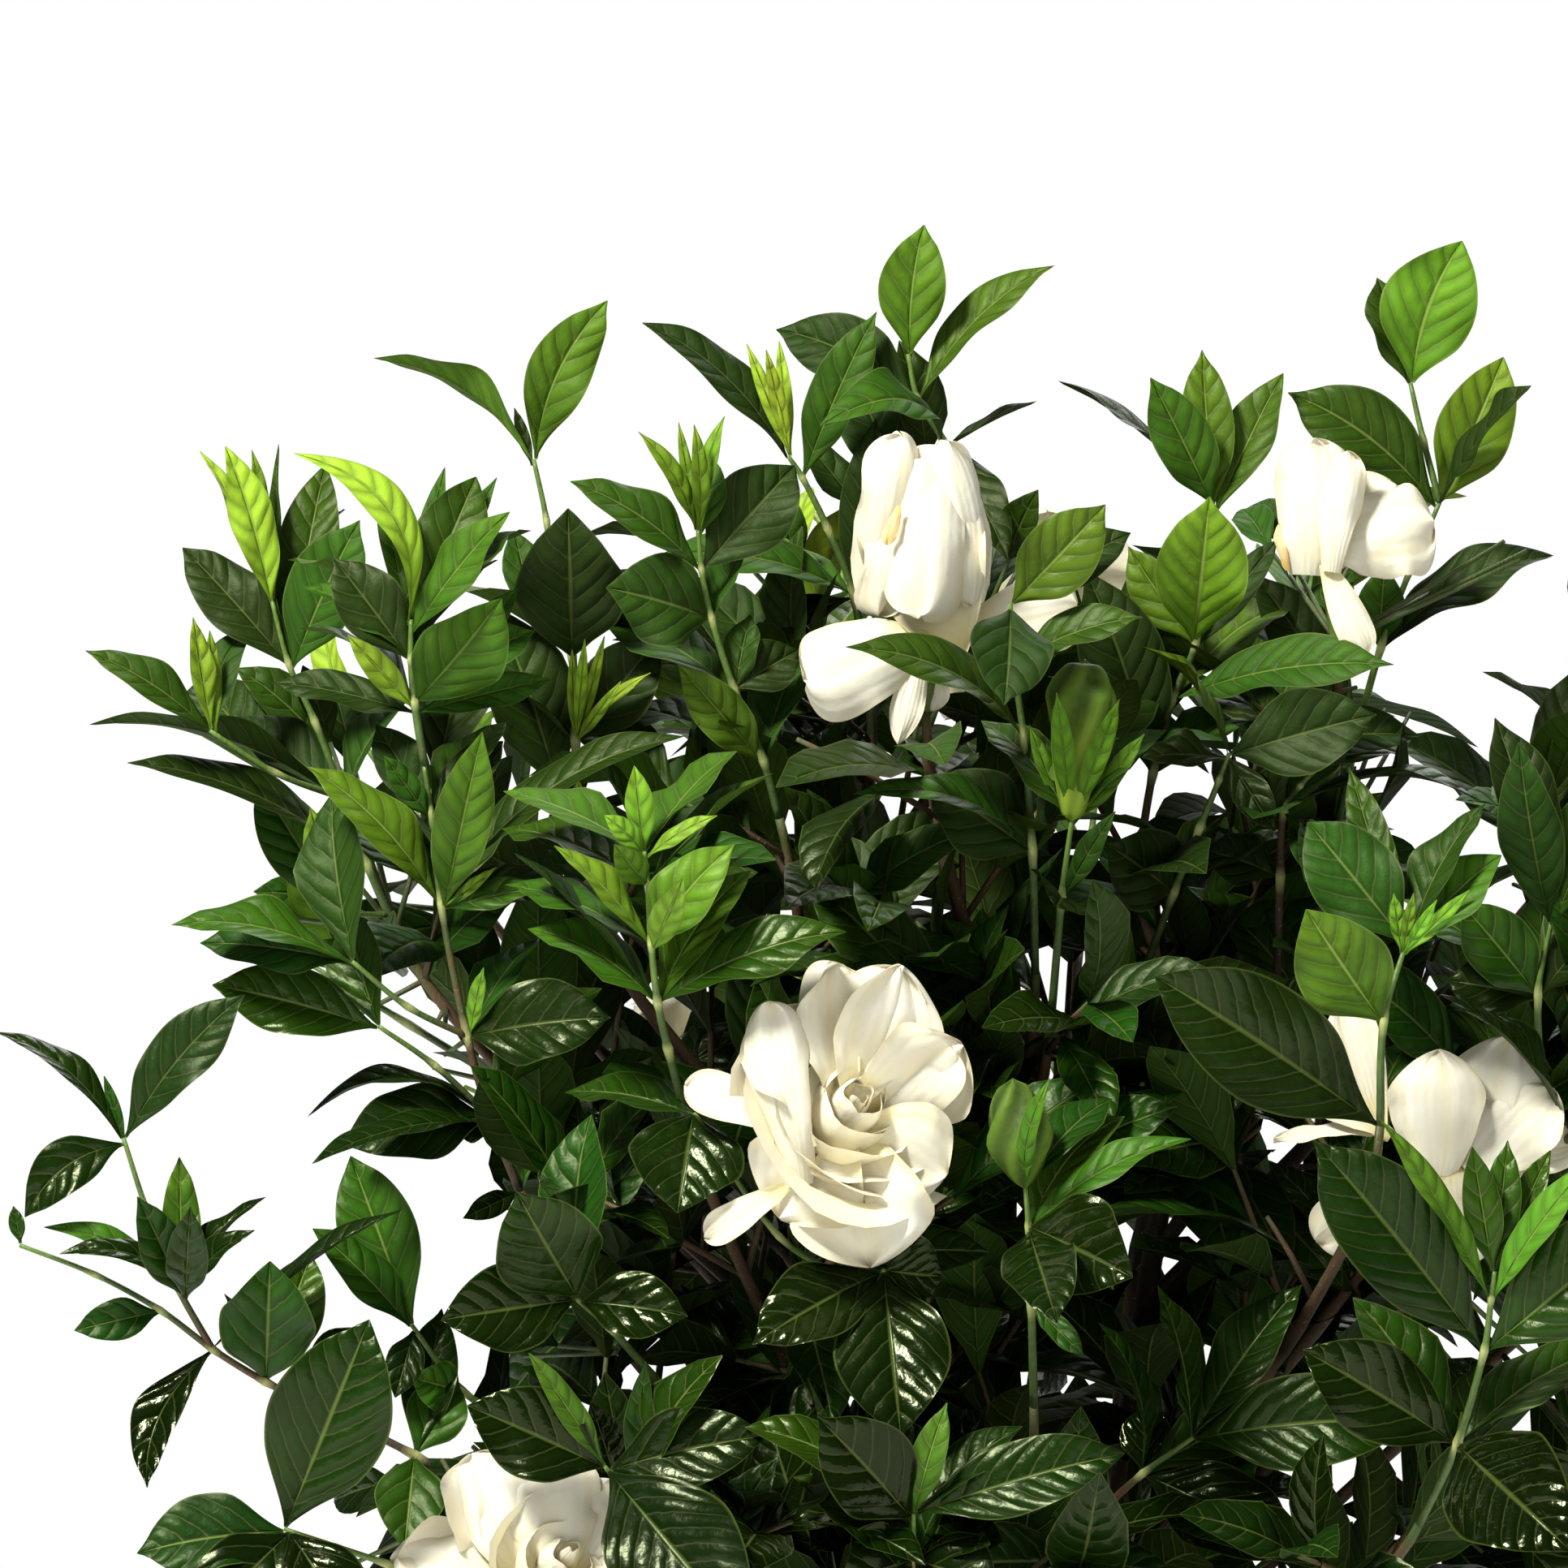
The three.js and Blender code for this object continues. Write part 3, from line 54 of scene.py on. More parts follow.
# Each shoot: twigs as lists of [across, depth, down], whose nodes are numbered through, and leaves as
# [node, tip across, tip down, width, lean, roll, arch, tone, sway]. Lean is how far the tip lies behind
# its node. Roll turns the upper face from the viewer towards the sky. Tone runs from 0, dark and old, to 3,
# yellow-green and young, and is partly painted shade: leaves that lie in shadow are given lower tones.
# Extras are leaves that the frame doesn't hold. A bud is [node, tip across, tip down, width, how high it is
# widest, tone of its foot, tone of its top]; the upper bud's darker top is a painted shadow of the leaf
# above.
shoots = [
    {"name": "shoot_upper_left", "twigs": [
        [[121, -40, 287], [112, -44, 266], [105, -48, 246], [96, -52, 222], [88, -56, 204], [83, -58, 185]],
        [[105, -48, 246], [84, -62, 238], [64, -70, 225]],
        [[119, -41, 282], [104, -48, 282]]],
     "leaves": [
        [5, 69, 137, 15, -8, 25, 0.06, 3], [5, 61, 138, 11, 6, 50, 0.06, 3], [5, 77, 138, 7, 10, 30, 0.02, 2],
        [5, 84, 136, 7, 14, 60, 0, 1], [4, 99, 142, 19, 14, 10, 0.05, 1], [4, 55, 168, 21, 4, 15, 0.05, 0],
        [4, 110, 160, 24, -12, 15, 0.06, 1], [2, 27, 222, 20, -26, 112, 0.1, 0],
        [1, 39, 234, 22, -26, 65, 0.08, 0], [2, 70, 220, 20, 12, 35, 0.05, 0],
        [8, 26, 200, 15, -6, 40, 0.08, 1], [8, 59, 190, 8, -2, 20, 0, 2.3], [8, 64, 194, 6, 4, 20, 0, 2.2],
        [8, 76, 193, 13, 6, 20, 0.08, 0.4, 0.1], [10, 78, 240, 21, 2, 0, 0.05, 1],
        [10, 95, 249, 13, -6, 0, 0.04, 2.6]]},
    {"name": "shoot_left_main", "twigs": [
        [[160, -96, 367], [151, -104, 344], [144, -112, 319], [136, -120, 278], [133, -122, 250],
         [131, -124, 236]],
        [[144, -112, 319], [126, -122, 310], [109, -130, 296]],
        [[151, -104, 344], [134, -112, 328], [117, -120, 316]]],
     "leaves": [
        [8, 54, 284, 22, -10, 60, 0.1, 1.3], [8, 62, 290, 18, 10, 30, 0.06, 0.5],
        [11, 66, 303, 23, -4, 20, 0.05, 1], [3, 96, 236, 19, -14, 40, 0.1, 1.9],
        [3, 210, 226, 22, -18, 62, 0.12, 0.4], [3, 149, 226, 18, -8, 0, 0.05, 1.5],
        [4, 155, 228, 14, 16, 20, 0.04, 0], [4, 116, 223, 16, 10, 10, 0.04, 0], [4, 119, 233, 9, -2, 10, 0, 1],
        [1, 95, 343, 17, -6, 75, 0.22, 0], [1, 106, 352, 26, -18, 25, 0.1, 0],
        [1, 97, 357, 13, -30, 60, 0.08, 0], [1, 140, 349, 10, -2, 20, 0, 0], [0, 143, 372, 8, -4, 20, 0, 0],
        [3, 153, 267, 4, -6, 20, 0, 3], [2, 149, 298, 6, -10, 30, 0, 3], [2, 188, 313, 28, -14, 20, 0.06, 0],
        [3, 168, 273, 10, -10, 30, 0.04, 1]]},
    {"name": "shoot_left_apex", "twigs": [
        [[131, -124, 235.4], [128, -126, 216], [127, -128, 203], [127, -128, 191]]],
     "grownOn": "shoot_left_main",
     "leaves": [
        [3, 92, 140, 15, -16, 40, 0.2, 3, -0.12], [3, 147, 147, 23, -6, -5, 0.06, 1],
        [3, 117, 146, 8, 8, 10, 0, 1], [3, 137, 144, 9, 4, 20, 0, 1], [3, 153, 147, 9, 14, 20, 0, 1],
        [3, 157, 158, 17, 8, 35, 0.05, 1.2], [2, 103, 172, 21, 4, 10, 0.05, 0],
        [1, 155, 185, 28, -20, -20, 0.05, 1.2], [1, 165, 194, 22, -6, 35, 0.08, 1],
        [1, 160, 181, 12, 8, 10, 0.03, 1], [1, 108, 196, 9, -12, 5, 0.02, 2.4],
        [1, 84, 210, 14, 10, 40, 0.05, 0], [1, 170, 209, 12, 20, 20, 0.03, 1]]},
    {"name": "shoot_left_sprig", "twigs": [
        [[178, -60, 262], [177, -66, 228], [176, -70, 202], [170, -66, 180], [168, -62, 160], [164, -60, 141]]],
     "leaves": [
        [5, 115, 109, 21, 0, 112, 0.13, 1.4], [5, 187, 92, 20, -4, -10, 0.05, 1.5, 0.1],
        [5, 158, 125, 4, 2, 0, 0, 0], [2, 175, 157, 35, -30, 0, 0.1, 0], [1, 176, 200, 4, -10, 0, 0, 3],
        [1, 180, 197, 4, -15, 0, 0, 3], [1, 186, 196, 4, -12, 0, 0, 3], [1, 191, 210, 4, -16, 0, 0.1, 3],
        [1, 200, 207, 5, -14, 40, 0.1, 3], [1, 203, 196, 24, -4, 10, 0.05, 0], [0, 178, 239, 5, -10, 0, 0, 3]]},
    {"name": "shoot_mid_left", "twigs": [
        [[240, -70, 252], [235, -76, 234], [226, -84, 212], [219, -88, 190], [216, -90, 175], [215, -92, 163]]],
     "leaves": [
        [4, 176, 148, 18, -12, 40, 0.1, 1], [4, 245, 143, 26, 12, 5, 0.05, 0],
        [5, 197, 133, 7, -8, 30, 0.15, 2], [5, 209, 130, 4, 2, 0, 0, 2], [5, 214, 131, 6, -4, 20, 0.1, 2],
        [5, 223, 128, 7, -2, 30, 0.12, 2], [5, 219, 140, 13, 6, 0, 0.03, 1],
        [3, 187, 181, 30, -18, 15, 0.08, 0.4], [1, 209, 205, 16, -10, 5, 0.04, 1.5],
        [2, 246, 200, 17, 8, 10, 0.04, 0], [2, 231, 189, 12, 6, 20, 0.03, 0.5]]},
    {"name": "shoot_upper_mid", "twigs": [
        [[268, -14, 215], [263, -26, 182], [255, -32, 162], [247, -36, 146], [243, -38, 140]]],
     "leaves": [
        [4, 198, 98, 17, -6, 45, 0.08, 0, -0.04], [4, 230, 105, 5, -4, 0, 0.05, 3],
        [4, 236, 107, 5, -8, 0, 0, 3], [4, 240, 104, 5, 2, 0, 0, 3], [3, 270, 95, 17, -6, 15, 0.06, 1],
        [1, 203, 170, 20, -20, 50, 0.1, 1], [1, 270, 128, 15, -12, 10, 0.05, 0],
        [1, 231, 199, 13, 6, 40, 0.1, 0]]},
    {"name": "shoot_top", "twigs": [
        [[300, -10, 200], [298, -24, 160], [291, -32, 135], [283, -36, 122], [280, -36, 108]]],
     "leaves": [
        [4, 285, 68, 21, -4, 0, 0.04, 1.5, 0.04], [3, 325, 80, 18, 2, 50, 0.06, 1.3, 0.06],
        [3, 239, 100, 23, 10, 15, 0.08, 0, -0.05], [2, 253, 130, 21, -38, 55, 0.26, 1],
        [2, 311, 172, 16, -30, 20, 0.06, 0], [2, 320, 122, 14, 8, 85, 0.03, 0]]},
    {"name": "shoot_beside_bloom", "twigs": [
        [[319, -86, 300], [318, -100, 262], [315, -114, 226], [312, -124, 204], [311, -128, 186]]],
     "leaves": [
        [4, 340, 156, 23, -10, -5, 0.06, 1.6], [4, 348, 164, 20, 10, 30, 0.04, 0],
        [4, 309, 217, 26, -26, -10, 0.06, 0], [2, 261, 199, 20, -34, 50, 0.14, 1],
        [3, 351, 190, 17, -14, 45, 0.08, 1], [1, 286, 240, 28, -10, 10, 0.05, 0],
        [1, 263, 244, 16, -12, 60, 0.15, 1]]},
    {"name": "shoot_bud_upper", "twigs": [
        [[324, -96, 312], [327, -112, 276], [330, -120, 252]]],
     # The top's lower tone is a painted shadow of the leaf above
     "bud": [2, 334, 203, 22, 0.74, 3, 1.2],
     "leaves": [
        [2, 325, 214, 7, -8, 0, -0.04, 1.7], [2, 344, 216, 7, -8, 0, -0.04, 1.7],
        [2, 352, 226, 7, -4, 20, -0.04, 1.5], [2, 317, 223, 6, -2, 20, -0.03, 1.5],
        [1, 325, 279, 26, -24, 0, 0.06, 0], [1, 343, 250, 8, -8, 20, 0.04, 0.4]]},
    {"name": "shoot_upper_right", "twigs": [
        [[352, -36, 262], [356, -42, 238], [362, -48, 215], [369, -54, 198], [373, -56, 172], [375, -56, 155]]],
     "leaves": [
        [5, 327, 116, 17, -2, 80, 0.06, 0], [5, 355, 116, 19, 8, 10, 0.03, 1.1],
        [5, 371, 107, 17, 2, 0, 0.03, 1.5], [5, 396, 114, 17, -2, 25, 0.03, 1.2],
        [3, 373, 153, 29, -22, 0, 0.06, 2], [3, 348, 168, 16, 4, -20, 0.03, 1.6],
        [3, 395, 165, 12, 8, 20, 0.03, 0], [1, 335, 175, 28, -12, 20, 0.08, 0],
        [2, 429, 204, 21, -26, 40, 0.08, 1]]},
    {"name": "shoot_top_right", "twigs": [
        [[412, -16, 262], [420, -26, 225], [427, -32, 199], [436, -36, 175], [445, -40, 154]],
        [[445, -40, 154], [440, -38, 135], [436, -36, 117]]],
     "leaves": [
        [7, 452, 73, 30, -4, 0, 0.05, 1.7, 0.07], [7, 426, 84, 20, 8, 25, 0.05, 1],
        [4, 465, 109, 24, 2, -10, 0.05, 2], [4, 472, 118, 18, -14, 70, 0.05, 0],
        [4, 398, 120, 26, -6, 15, 0.06, 1, -0.06], [2, 480, 170, 24, -4, 50, 0.12, 0],
        [2, 428, 174, 15, 4, 10, 0.03, 1], [1, 388, 176, 22, 6, 20, 0.05, 0]]},
    {"name": "shoot_right_streaked", "twigs": [
        [[352, -64, 302], [362, -70, 275], [370, -74, 255], [376, -78, 240], [379, -80, 232]]],
     "leaves": [
        [4, 424, 220, 27, -10, 10, 0.05, 0], [4, 438, 226, 22, 8, 40, 0.06, 0],
        [4, 352, 233, 16, -6, 50, 0.05, 0], [4, 393, 256, 12, -8, 0, 0.04, 0],
        [1, 341, 260, 27, -16, 10, 0.12, 0]]},
    {"name": "shoot_far_right", "twigs": [
        [[394, -60, 304], [395, -68, 270], [396, -74, 250], [401, -76, 242], [407, -78, 236]]],
     "leaves": [
        [2, 457, 246, 16, -4, 80, 0.16, 0], [2, 416, 290, 14, -26, 30, 0.05, 0.5],
        [4, 420, 214, 18, 18, 30, 0.05, 0], [1, 372, 262, 20, 4, 30, 0.06, 0]]},
    {"name": "shoot_right_bright", "twigs": [
        [[424, -150, 346], [425, -154, 314], [432, -150, 290]]],
     "leaves": [
        [1, 401, 280, 30, -14, -10, 0.05, 2], [2, 402, 253, 28, 10, 5, 0.05, 0.8],
        [2, 461, 263, 21, 2, 35, 0.05, 1.4], [2, 415, 236, 13, 26, 0, 0.03, 1],
        [2, 456, 247, 18, 20, 50, 0.08, 0.6], [2, 428, 275, 5, -6, 0, 0, 3], [2, 434, 275, 4, -9, 0, 0, 3],
        [2, 451, 274, 5, -8, 0, 0, 3], [2, 441, 277, 4, -12, 0, 0.05, 3], [0, 355, 300, 38, -20, 10, 0.06, 0]]},
    {"name": "shoot_right_edge", "twigs": [
        [[476, -78, 342], [474, -92, 306], [478, -98, 284]]],
     "leaves": [
        [2, 461, 221, 24, 0, 30, 0.12, 0, 0.05], [2, 467, 229, 20, -14, -10, 0.1, 0.3],
        [2, 507, 232, 22, -4, 30, 0.08, 1], [1, 450, 278, 22, -10, 10, 0.05, 1],
        [1, 502, 276, 20, -8, 30, 0.05, 0], [1, 446, 302, 20, 6, 20, 0.06, 0]]},
    {"name": "shoot_lower_right", "twigs": [
        [[436, -150, 468], [447, -170, 443], [455, -184, 414], [457, -188, 398], [458, -190, 390]]],
     "leaves": [
        [2, 403, 350, 34, -14, 10, 0.06, 0], [3, 423, 343, 10, -26, 40, 0.04, 2.5],
        [3, 487, 356, 13, -22, 40, 0.05, 2.6], [4, 451, 352, 12, -6, 0, 0.03, 1.3],
        [4, 462, 350, 12, 2, 0, 0.03, 1.3], [4, 475, 353, 11, 6, 20, 0.03, 1.4],
        [2, 509, 372, 32, -14, 10, 0.06, 1], [1, 480, 474, 40, -48, 0, 0.1, 0],
        [1, 400, 414, 30, -10, 10, 0.06, 0]]},
    {"name": "shoot_low_right", "twigs": [
        [[338, -110, 466], [352, -124, 453], [367, -134, 442]]],
     "leaves": [
        [2, 435, 436, 31, -14, 15, 0.12, 1], [2, 400, 395, 21, 4, 30, 0.06, 0.3],
        [1, 398, 478, 30, -20, 20, 0.06, 0], [1, 354, 432, 16, 8, 20, 0.05, 0]]},
    {"name": "shoot_bud_lower", "twigs": [
        [[318, -150, 432], [317, -172, 400], [316, -188, 376], [315, -192, 364]]],
     "bud": [3, 311, 331, 20.5, 0.42, 1.25, 1.0],
     "leaves": [
        [3, 322, 331, 7, -6, 30, 0.15, 2], [2, 365, 349, 14, -10, 50, 0.1, 1.6],
        [2, 347, 391, 34, -24, 5, 0.06, 0], [2, 324, 404, 24, -32, 0, 0.06, 0],
        [1, 333, 416, 8, -12, 20, 0, 1.2]]},
    {"name": "shoot_centre_bright", "twigs": [
        [[212, -150, 346], [206, -172, 322], [203, -184, 308], [201, -190, 290], [200, -192, 272],
         [199, -194, 262]]],
     "leaves": [
        [3, 172, 260, 13, -10, 50, 0.06, 2.6], [5, 196, 236, 9, -2, 10, 0.03, 2.3],
        [5, 187, 251, 8, 2, 20, 0.1, 2.4], [5, 221, 251, 6, -4, 30, 0.1, 2.7],
        [4, 190, 260, 10, -8, 0, 0.03, 2], [3, 226, 260, 20, -12, 20, 0.15, 2.1],
        [3, 211, 270, 10, -20, 0, 0.05, 3], [2, 160, 262, 20, -4, 82, 0.04, 0],
        [2, 260, 286, 22, -12, 40, 0.1, 1]]},
    {"name": "shoot_under_bloom", "twigs": [
        [[262, -132, 396], [268, -152, 394], [272, -166, 390]],
        [[264, -140, 395], [240, -150, 380], [214, -164, 342]]],
     "leaves": [
        [2, 277, 440, 36, -24, 0, 0.06, 0], [2, 290, 392, 27, -8, -10, 0.05, 0],
        [2, 232, 412, 26, -10, 20, 0.06, 0], [5, 209, 372, 36, -18, 0, 0.06, 0]]},
    {"name": "shoot_low_centre", "twigs": [
        [[282, -150, 500], [281, -172, 478], [281, -184, 464]]],
     "leaves": [
        [2, 345, 445, 24, -10, 20, 0.06, 0.6], [2, 291, 430, 11, -8, 10, 0.1, 2.5],
        [2, 252, 434, 30, -14, 10, 0.06, 0], [1, 258, 486, 30, -20, 0, 0.08, 0],
        [1, 306, 488, 28, -16, 20, 0.08, 0]]},
    {"name": "shoot_low_left_glossy", "twigs": [
        [[150, -140, 492], [120, -158, 480], [89, -170, 469]]],
     "leaves": [
        [2, 115, 405, 38, -14, 0, 0.05, 0.55], [2, 44, 476, 28, -4, 30, 0.06, 1],
        [2, 60, 502, 27, -20, 10, 0.08, 0], [2, 112, 504, 26, -14, 20, 0.06, 0]]},
    {"name": "shoot_left_arm", "twigs": [
        [[150, -104, 462], [128, -112, 448], [100, -118, 434], [82, -122, 425], [66, -126, 415],
         [50, -128, 403], [30, -130, 392], [7, -132, 383]],
        [[66, -126, 415], [55, -132, 395], [46, -136, 372], [39, -138, 350]]],
     "leaves": [
        [11, 76, 306, 20, -6, 20, 0.04, 0, 0.04], [11, 0, 317, 14, 2, 60, 0.12, 0],
        [11, 9, 374, 17, -8, 10, 0.08, 0, -0.12], [11, 33, 331, 4, 2, 0, 0, 1],
        [9, 15, 377, 10, -8, 40, 0.15, 2], [9, 20, 385, 10, -16, 50, 0.2, 0], [9, 56, 356, 12, 2, 10, 0.04, 2],
        [9, 82, 368, 11, 6, 60, 0.1, 0], [9, 79, 378, 11, -8, 50, 0.1, 0], [9, 44, 368, 15, -18, 10, 0.05, 0.8],
        [9, 60, 371, 13, -24, 0, 0.05, 0.4], [7, 5, 371, 5, 2, 0, 0, 1], [5, 24, 409, 13, -8, 10, 0.05, 1],
        [4, 46, 457, 16, -12, 30, -0.06, 0, -0.18], [3, 84, 388, 30, -20, 0, 0.05, 1],
        [4, 124, 371, 15, -8, 75, 0.05, 0], [1, 125, 476, 22, -18, 0, 0.08, 1.6]],
     "extras": [
        [3, 96, 386, 21, 12, 0, 0.05, 1.7], [1, 140, 424, 19, 10, 0, 0.04, 1.6],
        [1, 136, 403, 17, 18, 0, 0.04, 0.4], [2, 112, 408, 22, 14, 10, 0.05, 0.5],
        [3, 70, 398, 9, -6, 40, 0.08, 2.2], [1, 150, 470, 20, 8, 10, 0.05, 0.6]]},
    {"name": "shoot_left_olive", "twigs": [
        [[164, -92, 442], [142, -102, 428], [127, -110, 408]]],
     "leaves": [
        [2, 97, 378, 17, -10, 35, 0.05, 1.3], [2, 108, 356, 24, 8, 0, 0.05, 1.4],
        [2, 122, 430, 12, -8, 0, 0.03, 0], [1, 127, 424, 16, -14, 0, 0.05, 2]]},
    {"name": "shoot_left_heart", "twigs": [
        [[202, -126, 424], [188, -144, 408], [178, -158, 399]]],
     "leaves": [
        [2, 137, 405, 28, -14, 10, 0.05, 0], [2, 160, 366, 34, -16, -5, 0.05, 0.5],
        [2, 212, 404, 22, -8, 20, 0.06, 0]]},
    {"name": "shoot_low_left", "twigs": [
        [[206, -132, 476], [196, -156, 462], [187, -174, 450]]],
     "leaves": [
        [2, 145, 431, 29, -6, 10, 0.06, 0], [2, 164, 415, 9, -4, 20, 0.03, 2.4],
        [2, 230, 500, 42, -38, 0, 0.08, 0], [2, 236, 440, 26, -6, 20, 0.06, 0],
        [1, 199, 418, 10, -12, 20, 0, 1]]},
]

# Blooms of the crown's other sides: turn round the pot's axis, height and distance of the core, how far the
# bloom looks up, and its size as part of a full bloom's
otherBlooms = [
    {"name": "bloom_side", "turn": -4, "height": 545, "reach": 236, "rise": 0.35, "scale": 1},
    {"name": "bloom_back", "turn": 86, "height": 592, "reach": 168, "rise": 0.5, "scale": 1},
    {"name": "bloom_back_left", "turn": 122, "height": 438, "reach": 180, "rise": 0.3, "scale": 0.95},
]
outerPetals = {"count": 5, "tilt": 84, "length": 41, "width": 33, "wider": 1.36, "arch": 0.07, "core": 9}

# The crown's outline seen from the front, which the inner leaves keep inside, and the openings in it
outline = [
    [56, 500], [44, 480], [96, 470], [112, 440], [148, 436], [158, 405], [146, 384], [150, 352], [128, 332],
    [98, 322], [68, 306], [62, 286], [76, 270], [76, 240], [44, 230], [44, 212], [66, 204], [80, 206],
    [62, 172], [75, 152], [92, 146], [116, 150], [150, 150], [168, 160], [195, 150], [222, 150], [240, 146],
    [250, 110], [280, 100], [300, 130], [330, 160], [350, 160], [375, 152], [400, 150], [425, 128],
    [450, 120], [480, 160], [540, 170], [590, 230], [620, 320], [610, 420], [580, 500], [560, 520],
    [80, 520]]
openings = [
    [112, 215, 9], [115, 236, 7], [232, 184, 9], [239, 228, 6], [203, 313, 9], [122, 314, 10], [350, 248, 8],
    [362, 246, 8], [388, 240, 7], [398, 240, 6], [355, 285, 8], [325, 300, 8], [282, 250, 9], [308, 265, 7],
    [440, 250, 10], [440, 200, 9], [460, 265, 6], [228, 428, 5], [195, 430, 5], [432, 300, 5]]

# The ways in which a leaf may bend to stay clear of its neighbours: [tip moved back, roll, tip moved up]
bends = [
    [0, 0, 0], [-7, 0, 0], [7, 0, 0], [-14, 0, 0], [14, 0, 0], [-4, 15, 0], [4, -15, 0], [-22, 0, 0],
    [22, 0, 0], [-10, 20, 3], [10, -20, 3], [-10, -20, -3], [10, 20, -3], [-30, 0, 4], [30, 0, 4],
    [0, 30, 8], [0, -30, -8], [-20, 25, 10], [20, -25, 10], [-20, -25, -10], [20, 25, -10]]

# Leaf pairs of a shoot on the other sides: part of the twig's length, leaf length, width, angle off the twig
pairs = [[0.16, 60, 26, 74], [0.45, 58, 25, 62], [0.74, 50, 22, 50], [0.97, 34, 12, 28]]


# The same draws as in the part's source, from 0 to 1
def randomFrom(seed):
    state = seed
    wordMask, stride = 0xffffffff, 0x6d2b79f5

    def draw():
        nonlocal state
        state = (state + stride) & wordMask
        mixed = ((state ^ (state >> 15)) * (state | 1)) & wordMask
        mixed ^= (mixed + (mixed ^ (mixed >> 7)) * (mixed | 61)) & wordMask
        return (mixed ^ (mixed >> 14)) / (wordMask + 1)
    return draw


def blend(low, high, part):
    return low + (high - low) * part


def smoothStep(low, high, value):
    part = min(max((value - low) / (high - low), 0), 1)
    return part * part * (3 - 2 * part)


def squareTo(vector, along):
    return (vector - along * vector.dot(along)).normalized()


# The first way turned towards the second, which is square to it
def turned(first, second, turn):
    return first * math.cos(turn) + second * math.sin(turn)


# The upper face of a blade seen from the front: turned to the viewer, then rolled towards the sky
def facingNormal(along, roll):
    facing = squareTo(Vector((0, -1, 0)), along)
    side = along.cross(facing) * (-1 if along.x >= 0 else 1)
    return turned(facing, side, math.radians(roll))


# Whether a point, seen from the front, lies in one of the circles
def inCircles(point, circles):
    across, down = point.x + crown["axisAcross"], crown["datumHeight"] - point.z
    return any(math.hypot(across - cx, down - cy) < radius for cx, cy, radius in circles)


def insideOutline(point):
    across, down = point.x + crown["axisAcross"], crown["datumHeight"] - point.z
    inside = False
    for corner, (ax, ay) in enumerate(outline):
        bx, by = outline[corner - 1]
        if (ay > down) != (by > down) and across < (bx - ax) * (down - ay) / (by - ay) + ax:
            inside = not inside
    return inside and not inCircles(point, openings)


# Node tools. Most of them find their node tree from a socket that they are given
def addNode(tree, kind, inputs=(), **settings):
    node = tree.nodes.new(kind)
    for key, value in settings.items():
        setattr(node, key, value)
    for key, value in inputs.items() if isinstance(inputs, dict) else enumerate(inputs):
        if isinstance(value, bpy.types.NodeSocket):
            tree.links.new(value, node.inputs[key])
        else:
            node.inputs[key].default_value = value
    return node


def calc(operation, *values, clamp=False):
    tree = next(value.id_data for value in values if isinstance(value, bpy.types.NodeSocket))
    return addNode(tree, "ShaderNodeMath", values, operation=operation, use_clamp=clamp).outputs[0]


def plus(first, second, clamp=False):
    return calc("ADD", first, second, clamp=clamp)


def minus(first, second, clamp=False):
    return calc("SUBTRACT", first, second, clamp=clamp)


def times(first, second, clamp=False):
    return calc("MULTIPLY", first, second, clamp=clamp)


def timesPlus(value, factor, addend, clamp=False):
    return calc("MULTIPLY_ADD", value, factor, addend, clamp=clamp)


def mixColour(factor, first, second):
    inputs = {0: factor}
    for number, value in ((6, first), (7, second)):
        inputs[number] = value if isinstance(value, bpy.types.NodeSocket) else (*value, 1)
    return addNode(factor.id_data, "ShaderNodeMix", inputs, data_type="RGBA").outputs[2]


def stepUp(value, low, high):
    inputs = {"Value": value, "From Min": low, "From Max": high}
    return addNode(value.id_data, "ShaderNodeMapRange", inputs, interpolation_type="SMOOTHSTEP").outputs[0]


def colourRamp(value, stops):
    ramp = addNode(value.id_data, "ShaderNodeValToRGB", [value])
    elements = ramp.color_ramp.elements
    while len(elements) < len(stops):
        elements.new(0.5)
    for element, (position, colour) in zip(elements, stops):
        element.position = position
        element.color = (*colour, 1)
    return ramp.outputs[0]


def retint(colour, value, hue=0.5):
    inputs = {"Hue": hue, "Value": value, "Color": colour}
    return addNode(colour.id_data, "ShaderNodeHueSaturation", inputs).outputs[0]


def noiseOf(tree, scale, detail=3.0, vector=None):
    vector = vector or addNode(tree, "ShaderNodeTexCoord").outputs["Object"]
    return addNode(tree, "ShaderNodeTexNoise", {"Vector": vector, "Scale": scale, "Detail": detail}).outputs[0]


def newGroup(name, inputs, outputs):
    tree = bpy.data.node_groups.new(name, "ShaderNodeTree")
    for way, sockets in (("INPUT", inputs), ("OUTPUT", outputs)):
        for socket, kind in sockets.items():
            tree.interface.new_socket(name=socket, in_out=way, socket_type="NodeSocket" + kind)
    return tree, tree.nodes.new("NodeGroupInput").outputs, tree.nodes.new("NodeGroupOutput").inputs


def useGroup(tree, group, inputs):
    return addNode(tree, "ShaderNodeGroup", inputs, node_tree=group).outputs


def newMaterial(name, **constants):
    material = bpy.data.materials.new(name)
    material.use_nodes = True
    tree = material.node_tree
    shader = tree.nodes["Principled BSDF"]
    for key, value in constants.items():
        shader.inputs[key.replace("_", " ")].default_value = value
    return material, tree, shader


def attribute(tree, name):
    vector = addNode(tree, "ShaderNodeAttribute", attribute_name=name).outputs["Vector"]
    return vector, addNode(tree, "ShaderNodeSeparateXYZ", [vector]).outputs


def finishSkin(shader, body, rough, relief, depth, strength):
    tree = shader.id_data
    bump = addNode(tree, "ShaderNodeBump", {"Height": relief, "Distance": depth, "Strength": strength})
    for socket, value in (("Base Color", body), ("Roughness", rough), ("Normal", bump.outputs[0])):
        tree.links.new(value, shader.inputs[socket])


